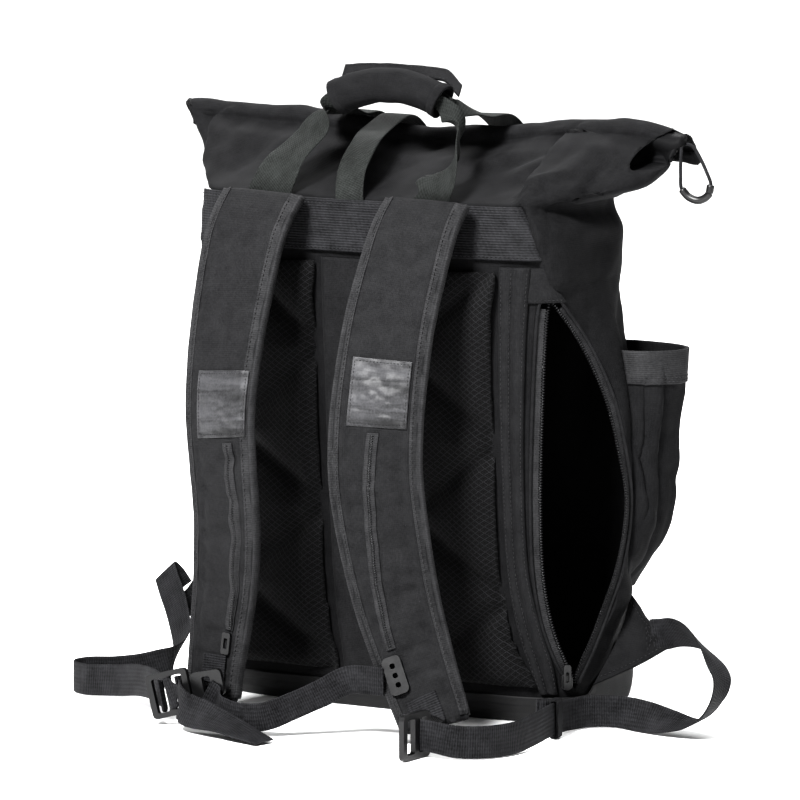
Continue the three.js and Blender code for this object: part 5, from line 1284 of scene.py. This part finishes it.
strap = {
    "width": 0.073, "thickness": 0.012, "centre": -0.006, "top": 0.406, "tip": 0.015,
    "rows": {"up": [0.037, 0.08, 0.17, 0.265, 0.38, 0.49, 0.585, 0.68, 0.785, 0.91, 0.96, 1],
             "right": [0.368, 0.333, 0.279, 0.24, 0.218, 0.203, 0.2, 0.2, 0.2, 0.209, 0.212, 0.215],
             "left": [0.236, 0.243, 0.24, 0.224, 0.207, 0.21, 0.221, 0.226, 0.23, 0.234, 0.231, 0.227],
             "out": [-1.4, -1.345, -1.3, -1.305, -1.355, -1.385, -1.37, -1.31, -1.2, -1.03, -0.93, -0.8],
             "twist": [15, 15, 15, 16, 17, 17, 16, 13, 9, 4, 2, 0],
             "wide": [0.74, 0.78, 0.86, 0.93, 0.98, 1, 1, 1, 1, 1, 1, 1]},
    "tapeFrom": 0.765, "tapeThickness": 0.0009, "seamAt": 0.56, "creaseHalf": 0.036,
    "Right": {"patchLow": 0.59, "patchFrom": -0.6, "patchTo": 0.7, "zipHigh": -0.02, "zipLow": -0.43},
    "Left": {"patchLow": 0.548, "patchFrom": -0.52, "patchTo": 0.88, "zipHigh": 0.37, "zipLow": 0.51},
    "patchHeight": 0.05, "zipFoot": 0.18,
    # creases across the outer face: across 0, up 0, across 1, up 1 (metres up the strap), width, height
    "creases": [(-0.6, 0.100, 0.5, 0.112, 0.006, -0.0016), (-0.4, 0.142, 0.7, 0.150, 0.006, -0.0014),
                (-0.7, 0.182, 0.3, 0.176, 0.007, -0.0014), (-0.3, 0.214, 0.6, 0.206, 0.005, -0.0012),
                (-0.5, 0.064, 0.6, 0.076, 0.006, -0.0014), (0.1, 0.300, 0.8, 0.312, 0.008, 0.0012),
                (-0.8, 0.330, 0.0, 0.318, 0.009, -0.001), (-0.5, 0.366, 0.6, 0.372, 0.008, -0.0012)],
}


def strapFrame(side, share):
    # centre line from the table; width direction turned by the twist and kept square to it
    column = "right" if side > 0 else "left"

    def centreAt(s):
        aside = readTable(strap["rows"], "up", s, column) * bag["width"]
        out = readTable(strap["rows"], "up", s, "out") * bag["depth"]
        return np.stack([strap["centre"] + side * aside, out, s * strap["top"]], -1)
    tangent = unit(centreAt(share + 0.01) - centreAt(share - 0.01))
    twist = np.radians(readTable(strap["rows"], "up", share, "twist")) * side
    across = np.stack([np.cos(twist), np.sin(twist), 0 * twist], -1)
    across = unit(across - tangent * (across * tangent).sum(-1, keepdims=True))
    half = readTable(strap["rows"], "up", share, "wide") * strap["width"] / 2
    return centreAt(share), across, unit(np.cross(across, tangent)), tangent, half


def strapCrown(a):
    # full thickness between the bindings, less than half of it at the edge
    return 1 - 0.52 * smooth((np.abs(a) - 0.7) / 0.22)


def strapRelief(side, a, share):
    # waves, creases and the hollow sewn between the two lengthwise seams below the patch
    z, wide = share * strap["top"], strap["creaseHalf"]
    rows = [(x0 * wide, z0, x1 * wide, z1, w, h) for x0, z0, x1, z1, w, h in strap["creases"]]
    free = smooth((0.72 - np.abs(a)) / 0.2)
    low = strap["Right" if side > 0 else "Left"]["patchLow"] * strap["top"]
    seam = np.exp(-(((np.abs(a) - strap["seamAt"]) / 0.05) ** 2)) * smooth((low - z) / 0.006)
    fine = 0.0007 * softNoise(a * wide, z, 0.008, 62 + side) \
        + 0.0011 * softNoise(a * wide / 2, z * 1.6, 0.010, 66 + side)
    return free * (1.3 * folds(a * wide, z, rows) + 0.0010 * softNoise(a * wide, z, 0.026, 61 + side)
                   + fine * smooth((low - z) / 0.01)) - 0.0021 * seam


def strapSkin(side, a, share, lift=0.0, back=False):
    # outer or inner face at a share across and up: the frame's point moved out by half the thickness and the relief
    centre, across, outward, _, half = strapFrame(side, share)
    height = strap["thickness"] / 2 * strapCrown(a) + lift + (0 if back else strapRelief(side, a, share))
    return centre + across * (a * half)[..., None] + outward * ((-height if back else height))[..., None]


def makeStrap(side, word):
    # section cos to 0.75 wide and sin to 0.22 thick, carried up the frame
    share, k = np.meshgrid(np.linspace(strap["tip"] / strap["top"], 1, 210), np.arange(64), indexing="ij")
    turn = (k + 0.5) / 64 * 2 * np.pi
    a = np.sign(np.cos(turn)) * np.abs(np.cos(turn)) ** 0.75 * 0.985
    rim = np.abs(np.sin(turn)) ** 0.22
    centre, across, outward, _, half = strapFrame(side, share)
    end = smooth(np.minimum(share - strap["tip"] / strap["top"], 1 - share) / 0.012 + 0.25)
    height = strap["thickness"] / 2 * strapCrown(a) * rim * mix(0.5, 1, end)
    height = height + np.where(np.sin(turn) > 0, strapRelief(side, a, share), 0) * rim
    points = centre + across * (a * half * mix(0.94, 1, end))[..., None] \
        + outward * (np.sign(np.sin(turn)) * height)[..., None]
    length = share * strap["top"]
    uv = np.stack([a * half, length], -1)
    rings = np.concatenate([points[:1].mean(1, keepdims=True).repeat(64, 1), points,
                            points[-1:].mean(1, keepdims=True).repeat(64, 1)])
    uv = np.concatenate([uv[:1], uv, uv[-1:]])
    piece = makePiece(f"strapCloth{word}", rings, gridFaces(len(rings), 64, closed=True), uv, weld=0.00002, turn=True)
    dress(piece, canvas, "pack_cloth", f"shoulder_strap_{word.lower()}")
    # binding tape folded round both edges
    tapes, seams = [], []
    for edge in (-1, 1):
        s, w = np.meshgrid(np.linspace(strap["tip"] / strap["top"] + 0.004, 0.997, 200), np.linspace(-1, 1, 27),
                           indexing="ij")
        c, ax, out, _, h = strapFrame(side, s)
        reach = strap["tapeFrom"] + (1.015 - strap["tapeFrom"]) * np.cos(np.pi / 2 * w) ** 0.55
        deep = strap["thickness"] / 2 * strapCrown(np.minimum(reach, 1)) * np.sign(w) \
            * np.sin(np.pi / 2 * np.abs(w)) ** 0.75
        roll = np.exp(-(((np.abs(w) - 0.42) / 0.22) ** 2)) - 0.9 * np.exp(-(((np.abs(w) - 0.8) / 0.1) ** 2))
        deep = deep + np.sign(w) * (0.0006 * np.abs(w) + 0.0011 * roll) \
            + 0.0003 * softNoise(s * strap["top"], w * 0.01, 0.012, 70 + edge)
        tape = c + ax * (edge * reach * h)[..., None] + out * deep[..., None]
        faces = gridFaces(*s.shape)
        if edge > 0:
            faces = faces[:, ::-1]
        tapes.append((tape, faces, np.stack([w * 0.006, s * strap["top"]], -1)))
        t = np.linspace(strap["tip"] / strap["top"] + 0.01, 0.985, 180)
        a = np.full(t.shape, edge * (strap["tapeFrom"] + 0.045))
        seams.append((strapSkin(side, a, t, 0.0012), strapFrame(side, t)[2]))
        inner = np.linspace(strap["tip"] / strap["top"] + 0.03, strap[word]["patchLow"] - 0.01, 150)
        beside = np.full(inner.shape, edge * strap["seamAt"])
        seams.append((strapSkin(side, beside, inner, 0.0003), strapFrame(side, inner)[2]))
    tapePiece = makePiece(f"strapBinding{word}", *joinArrays(tapes))
    skin = tapePiece.modifiers.new("wall", "SOLIDIFY")
    skin.thickness, skin.offset = strap["tapeThickness"], -1
    dress(tapePiece, grosgrain, "pack_cloth")
    sew(f"strapThread{word}", seams, pitch=0.0038, long=0.0027)


def makePatch(side, word):
    # strap skin between four lines, crumpled by noise that fades to its sides
    at = strap[word]

    def surface(u, v):
        a = mix(at["patchFrom"], at["patchTo"], u)
        s = mix(at["patchLow"], at["patchLow"] + strap["patchHeight"] / strap["top"], v)
        crumple = 0.0005 * softNoise(u * 0.05, v * 0.05, 0.006, 81 + side) \
            + 0.0004 * softNoise(u * 0.03, v * 0.06, 0.004, 83)
        return strapSkin(side, a, s) + strapFrame(side, s)[2] * (crumple * smooth(np.minimum(u, 1 - u) * 9))[..., None]
    makeSlab(f"patch{word}", surface, 60, 60, 0.0006, 0.0007, silverFilm, "reflective",
             f"strap_patch_{word.lower()}", rim=0.0004)
    seams = [seamRow(surface, *line, 0.0014, 50) for line in ((0.04, 0.05, 0.96, 0.05), (0.04, 0.95, 0.96, 0.95),
                                                             (0.04, 0.05, 0.04, 0.95), (0.96, 0.05, 0.96, 0.95))]
    sew(f"patchThread{word}", seams, slot="reflective", pitch=0.0026, long=0.0019)


def makeStrapZip(side, word):
    # tape on the strap's skin, thickest in its middle, with a row of small bars as coil
    at = strap[word]

    def surface(u, v):
        a = mix(at["zipLow"], at["zipHigh"], v) + mix(-0.13, 0.13, u)
        return strapSkin(side, a, mix(strap["zipFoot"], at["patchLow"] - 0.01, v))
    makeSlab(f"strapZipTape{word}", surface, 12, 150, lambda u, v: 0.0006 + 0.0009 * np.exp(-(((u - 0.5) / 0.16) ** 2)),
             0.0003, grosgrain, "zip", f"strap_zip_{word.lower()}")
    path, normal = seamRow(surface, 0.5, 0.01, 0.5, 0.99, 0.0015, 200)
    teeth = stitchArrays(path, normal, pitch=0.0019, long=0.0012, wide=0.0028, high=0.0008)
    dress(makePiece(f"strapZipCoil{word}", *teeth), coilNylon, "zip")


for side, word in ((-1, "Left"), (1, "Right")):
    makeStrap(side, word)
    makePatch(side, word)
    makeStrapZip(side, word)
softCopy("strapZipTab", "strap_zip_pull", sliderMetal, "plastic", 0.0005)
print("straps made")

# Lower webbings, their locks and the sternum strap

web = {
    "width": 0.025, "thickness": 0.0015, "lockSlot": 0.00775, "lockThickness": 0.0045, "sternumWidth": 0.022,
    # place in shares of the bag, width direction, width in metres
    "right": [
        (0.640, -0.045, 0.168, 0.63, 0, -0.78), (0.667, -0.05, 0.172, 0.63, 0, -0.78),
        (0.712, -0.1, 0.181, 0.45, 0.2, -0.87),
        (0.764, -0.16, 0.179, 0.2, 0.6, -0.77), (0.812, -0.22, 0.163, 0, 0.9, -0.4),
        (0.852, -0.28, 0.138, 0, 1, -0.1), (0.877, -0.34, 0.112, 0, 1, 0), (0.88, -0.4, 0.082, 0, 1, 0),
        (0.862, -0.42, 0.053, 0, 1, 0), (0.815, -0.4, 0.027, 0.1, 0.95, 0.15), (0.745, -0.37, 0.024, 0, 0.8, 0.6),
        (0.68, -0.36, 0.029, 0, 0.45, 0.9), (0.615, -0.36, 0.0325, 0, 0, 1), (0.555, -0.42, 0.0325, 0, 0, 1),
        (0.53, -0.6, 0.0325, 0, 0, 1), (0.545, -0.88, 0.0385, 0, 0, 1), (0.562, -1.2, 0.037, 0, 0, 1),
        (0.558, -1.45, 0.0325, 0, 0, 1), (0.525, -1.64, 0.0325, 0, 0, 1), (0.475, -1.75, 0.035, 0, 0, 1),
        (0.415, -1.79, 0.043, 0, 0, 1), (0.372, -1.8, 0.0442, 0, 0, 1)],
    "left": [
        (-0.664, -0.045, 0.17, 0.75, 0, 0.65), (-0.684, -0.06, 0.193, 0.75, 0, 0.65),
        (-0.696, -0.1, 0.207, 0.75, 0, 0.65), (-0.68, -0.14, 0.19, 0.75, 0, 0.65),
        (-0.63, -0.24, 0.14, 0.75, 0, 0.65), (-0.575, -0.42, 0.085, 0.6, 0, 0.8), (-0.565, -0.58, 0.06, 0.3, 0, 0.95),
        (-0.605, -0.68, 0.045, 0, 0, 1), (-0.68, -0.73, 0.034, 0, 0, 1), (-0.745, -0.82, 0.0325, 0, 0, 1),
        (-0.752, -0.96, 0.0325, 0, 0, 1), (-0.7, -1.05, 0.0325, 0, 0, 1), (-0.6, -1.1, 0.04, 0, 0, 1),
        (-0.48, -1.3, 0.058, 0, 0.05, 1), (-0.39, -1.49, 0.062, 0, 0.1, 1)],
    "tail": [(-0.25, -1.755, 0.045, 0, 0.3, 0.95), (-0.18, -1.79, 0.034, 0, 0.72, 0.7),
             (-0.12, -1.82, 0.025, 0, 0.9, 0.42), (-0.06, -1.86, 0.015, 0, 0.97, 0.25),
             (0.0, -1.9, 0.006, 0.1, 1, 0.1)],
    "sternum": [(0.13, -1.47, 0.112, 0.25, 0, 1), (0.07, -1.54, 0.085, 0.3, 0, 1), (0.01, -1.62, 0.06, 0.3, 0, 1),
                (-0.045, -1.68, 0.04, 0.1, 0, 1), (-0.11, -1.69, 0.034, 0, 0, 1), (-0.165, -1.68, 0.042, 0, 0, 1),
                (-0.195, -1.623, 0.058, 0, 0, 1), (-0.222, -1.631, 0.07, 0, 0, 1)],
}
lockLeftMiddle = place(-0.318, -1.63, 0.061)
lockLeftAcross = unit(np.array([-0.28, 0.04, 0.96]))
lockLeftAlong = unit(np.array([0.86, 0.12, 0.3]))
lockLeftFace = unit(np.cross(lockLeftAlong, lockLeftAcross))


def placed(rows, width, narrowing=()):
    # rows in shares of the bag to metres, with a width for each
    wide = np.full(len(rows), width)
    if len(narrowing):
        wide[-len(narrowing):] *= narrowing
    return [[*place(*row[:3]), *row[3:6], w] for row, w in zip(rows, wide)]


def onLeftLock(along, out, across=None, wide=1.0):
    # webbing row at a place in the left lock's own directions
    point = lockLeftMiddle + lockLeftAlong * along + lockLeftFace * out
    return [*point, *(lockLeftAcross if across is None else across), web["width"] * wide]


def onStrap(side, a, share, lift, at):
    # webbing row on the strap's outer face
    centre, across, outward, _, half = strapFrame(side, np.array([share]))
    point = centre + across * (a * half)[..., None] + outward * (strap["thickness"] / 2 + lift)
    return [*point[0], *strapFrame(side, np.array([at]))[1][0], web["width"]]


def makeRibbon(name, rows, steps, material, slot, *nodes, wave=0.0005, seed=1, thick=None):
    # flat section with round edges carried through the rows
    piece = makePiece(name, *ribbonArrays(rows, steps, thick or web["thickness"], wave, seed), turn=True)
    return dress(piece, material, slot, *nodes)


tip = strap["tip"] / strap["top"]
makeRibbon("webbingRight", placed(web["right"], web["width"], (0.97, 0.97)), 380, webbing, "webbing",
           "lower_webbing_right", wave=0.0006, seed=2)
makeRibbon("webbingLeft", placed(web["left"], web["width"]) + [onLeftLock(-web["lockSlot"] - 0.0005, -0.006),
           onLeftLock(-web["lockSlot"], 0.003)], 300, webbing, "webbing", "lower_webbing_left", wave=0.0006, seed=3)
makeRibbon("webbingTail", [onLeftLock(-0.001, web["lockThickness"] / 2 + 0.0012),
           onLeftLock(0.009, web["lockThickness"] / 2 + 0.0034)] + placed(web["tail"], web["width"],
           (0.95, 0.9, 0.8)), 130, webbing, "webbing", "webbing_tail_left", wave=0.0005, seed=4)
lift = 0.00125
makeRibbon("tongueRight", [onStrap(1, -0.12, tip + r, lift, r + 0.036) for r in (0.05, 0.03, 0.004)]
           + placed([(0.375, -1.71, 0.045, 0, 0, 1)], web["width"]), 90, webbing, "webbing", "strap_tongue_right")
makeRibbon("tongueLeft", [onStrap(-1, 0.15, tip + r, lift + off, r + tip)
                          for r, off in ((0.09, 0), (0.06, 0), (0.03, 0.0015))]
           + [onLeftLock(web["lockSlot"] + 0.008, -0.010, (0.6, 0, 0.5), 0.94),
              onLeftLock(web["lockSlot"] + 0.002, -0.006, (0.2, 0, 0.8), 0.94),
              onLeftLock(web["lockSlot"], 0.002, None, 0.94)], 110, webbing, "webbing", "strap_tongue_left")
softCopy("lockRight", "ladder_lock_right", acetal, "plastic", 0.0009, 3)
softCopy("lockLeft", "ladder_lock_left", acetal, "plastic", 0.0009, 3)
softCopy("keeperLoop", "webbing_keeper", webbing, "webbing", 0.0006)
softCopy("sternumGuide", "sternum_slider", acetal, "plastic", 0.0009, 3)
softCopy("sternumHalf", "sternum_buckle", acetal, "plastic", 0.0012, 3)


def sternumStart():
    # where the sternum webbing leaves its guide on the right strap
    centre, across, outward, _, half = strapFrame(1, np.array([0.132]))
    point = centre - across * (0.52 * half + 0.0104)[..., None] + outward * (strap["thickness"] / 2 + 0.003)
    return [*point[0], 0.25, 0, 1, web["sternumWidth"]]


makeRibbon("sternumWeb", [sternumStart()] + placed(web["sternum"], web["sternumWidth"]), 200, webbing, "webbing",
           "sternum_webbing", wave=0.0005, seed=6)


def makeRolledEnd():
    # spiral r = a + b t about a standing axis: the webbing's end rolled up behind its keeper
    t = np.linspace(0, 1, 90)
    angle = t * 2.6 * 2 * np.pi + 0.8
    radius = 0.0016 + 0.0042 * t
    centre = place(0.506, -0.8, 0)
    rows = np.stack([centre[0] + radius * np.cos(angle), centre[1] + radius * np.sin(angle), np.full(t.shape, 0.0158),
                     0 * t, 0 * t, 1 + 0 * t, np.full(t.shape, web["width"])], -1)
    return makeRibbon("rolledEnd", rows[::3], 150, webbing, "webbing", wave=0.0, thick=0.0013)


makeRolledEnd()
print("webbings made")

# Handle

handle = {
    "radius": 0.013, "wall": 0.0026, "height": 0.489, "reach": -0.050, "half": 0.048, "bow": 0.012, "middleX": 0.002,
    "split": 0.004, "webWidth": 0.038, "webThickness": 0.0017,
    "backRise": [(-0.252, -0.724, 0.985, 1, 0, 0, 1), (-0.245, -0.735, 1.008, 1, 0, 0, 1),
                 (-0.225, -0.66, 1.06, 1, 0, 0.2, 1), (-0.18, -0.5, 1.12, 0.9, 0.1, 0.45, 0.85)],
    "backFall": [(0.2, -0.46, 1.14, -0.5, 0.6, 0.6, 0.6), (0.228, -0.6, 1.09, -0.4, 1, 0, 0.7),
                 (0.215, -0.7, 1.045, -0.9, 0.5, 0, 1), (0.19, -0.735, 1.009, -1, 0, 0, 1),
                 (0.186, -0.724, 0.985, -1, 0, 0, 1)],
    "frontRise": [(-0.196, 0.54, 1.02, 1, 0, 0, 0.88), (-0.194, 0.42, 1.085, 1, 0, 0, 0.88),
                  (-0.192, 0.2, 1.14, 1, 0, 0, 0.88), (-0.19, -0.05, 1.142, 1, 0, 0.05, 0.88),
                  (-0.178, -0.25, 1.16, 0.8, 0, 0.5, 0.528)],
    "frontFall": [(0.18, -0.22, 1.168, -0.8, 0, 0.5, 0.528), (0.168, -0.02, 1.152, -1, 0, 0.05, 0.88),
                  (0.166, 0.2, 1.144, -1, 0, 0, 0.88), (0.172, 0.42, 1.095, -1, 0, 0, 0.88),
                  (0.18, 0.54, 1.03, -1, 0, 0, 0.88)],
    "centre": [(-0.028, -0.724, 0.985), (-0.03, -0.735, 1.003), (-0.04, -0.66, 1.05), (-0.055, -0.42, 1.1),
               (-0.085, -0.1, 1.122), (-0.09, 0.16, 1.138), (-0.09, 0.34, 1.11), (-0.09, 0.475, 1.06)],
}


def gripAt(share):
    # the grip's bent axis: its ends hang below its middle by the bow times the share squared
    height = handle["height"] - handle["bow"] * share**2
    return np.stack([share * handle["half"], handle["reach"] + 0 * share, height], -1)


def gripRows(shares, split, leans):
    # webbing rows along the grip's axis, moved aside by the split
    return [[*(gripAt(np.array(s)) + [handle["middleX"], split, 0]), lean, 0, 1, handle["radius"]]
            for s, lean in zip(shares, leans)]


def handleRows(rows):
    # rows in shares of the bag, their widths in shares of the handle webbing's
    return [[*place(*row[:3]), *row[3:6], row[6] * handle["webWidth"]] for row in rows]


makeRibbon("handleWebBack", handleRows(handle["backRise"]) + gripRows((-1, -0.6, 0, 0.6, 1), -handle["split"],
           (0.2, 0, 0, 0, 0)) + handleRows(handle["backFall"]), 330, handleCloth, "handle_webbing",
           "handle_webbing_back", wave=0.0005, seed=8, thick=handle["webThickness"])
makeRibbon("handleWebFront", handleRows(handle["frontRise"]) + gripRows((-1.12, -0.9, 0, 0.9, 1.12), handle["split"],
           (0.2, 0, 0, 0, -0.2)) + handleRows(handle["frontFall"]), 330, handleCloth, "handle_webbing",
           "handle_webbing_front", wave=0.0005, seed=9, thick=handle["webThickness"])
makeRibbon("centreWeb", [[*place(*row), 1, 0, 0, web["width"]] for row in handle["centre"]], 150, handleCloth,
           "handle_webbing", "centre_strap", wave=0.0004, seed=10, thick=handle["webThickness"])


def gripSkin(share, turn, lift=0.0):
    # sleeve about the axis, a little taller than deep, with folds along it where the wrap is drawn tight
    slope = -2 * handle["bow"] * share / handle["half"]
    normal = unit(np.stack([-slope, 0 * share, 1 + 0 * share], -1))
    ridge = 0.0006 * softNoise(turn * 0.013 + 0.3, share * 0.012, 0.007, 91) \
        + 0.0005 * softNoise(turn * 0.013 + 0.3, share * 0.05, 0.012, 92)
    hem = 0.0008 * smooth((np.abs(share) - 0.86) / 0.02)
    radius = 0.9 * handle["radius"] + ridge + hem - 0.0009 + lift
    depth = np.stack([0 * share, np.ones_like(share), 0 * share], -1)
    return gripAt(share) + [handle["middleX"], 0, 0] + depth * (0.95 * radius * np.cos(turn))[..., None] \
        + normal * (radius * np.sin(turn))[..., None]


def makeGrip():
    # sleeve round the axis with a wall of cloth, sewn along it and round both ends
    share, turn = np.meshgrid(np.linspace(-0.98, 0.98, 110), np.linspace(0, 2 * np.pi, 73)[:-1], indexing="ij")
    uv = np.stack([turn * handle["radius"], share * handle["half"]], -1)
    piece = makePiece("gripSleeve", gripSkin(share, turn), gridFaces(*share.shape, closed=True)[:, ::-1], uv)
    wall = piece.modifiers.new("wall", "SOLIDIFY")
    wall.thickness, wall.offset = handle["wall"], -1
    dress(piece, bodyCanvas, "pack_cloth", "handle_grip")
    t = np.linspace(-0.93, 0.93, 90)
    around = np.linspace(0, 2 * np.pi, 60)
    seams = []
    for path in (gripSkin(t, 0 * t - 0.5, 0.0002), gripSkin(0 * around - 0.9, around, 0.0002),
                 gripSkin(0 * around + 0.9, around, 0.0002)):
        middle = gripAt(path[:, 0] / handle["half"] - handle["middleX"] / handle["half"])
        seams.append((path, unit(path - middle - [handle["middleX"], 0, 0])))
    sew("gripThread", seams)


def flapSurface(u, v):
    # the wrap's open end stands off the grip, its free corner drooping past the right end
    share = mix(-0.95, 1.2, u)
    point = gripAt(share) + [handle["middleX"], 0, 0]
    droop = 0.8 * handle["radius"] * smooth((share - 0.9) / 0.35)
    point[..., 1] += mix(0.55, 0.95, v) * handle["radius"]
    point[..., 2] += handle["radius"] * mix(0.5, 1.14, v) + 0.75 * handle["bow"] * share**2 - droop \
        + 0.0007 * softNoise(u * 0.1, v * 0.01, 0.02, 95)
    return point


makeGrip()
makeSlab("gripWrapEnd", flapSurface, 90, 14, lambda u, v: 0.0026 + 0.0004 * softNoise(u * 0.1, v * 0.01, 0.006, 96),
         0.0003, canvas, "pack_cloth", "grip_flap")
sew("flapThread", [seamRow(flapSurface, 0.02, v, 0.98, v, 0.0031) for v in (0.12, 0.88)])
print("handle made")

# Seams of the harness face

seams = [seamRow(yokeSurface, 0.01, y, 0.99, y, 0.0029, 400) for y in (0.06, 0.92)]
for side in (-1, 1):
    surface = borderSurface(side)
    seams += [seamRow(surface, u, 0.01, u, 0.99, 0.0044, 300) for u in (0.1, 0.42, 0.9)]
sew("harnessThread", seams)
print("seams made")
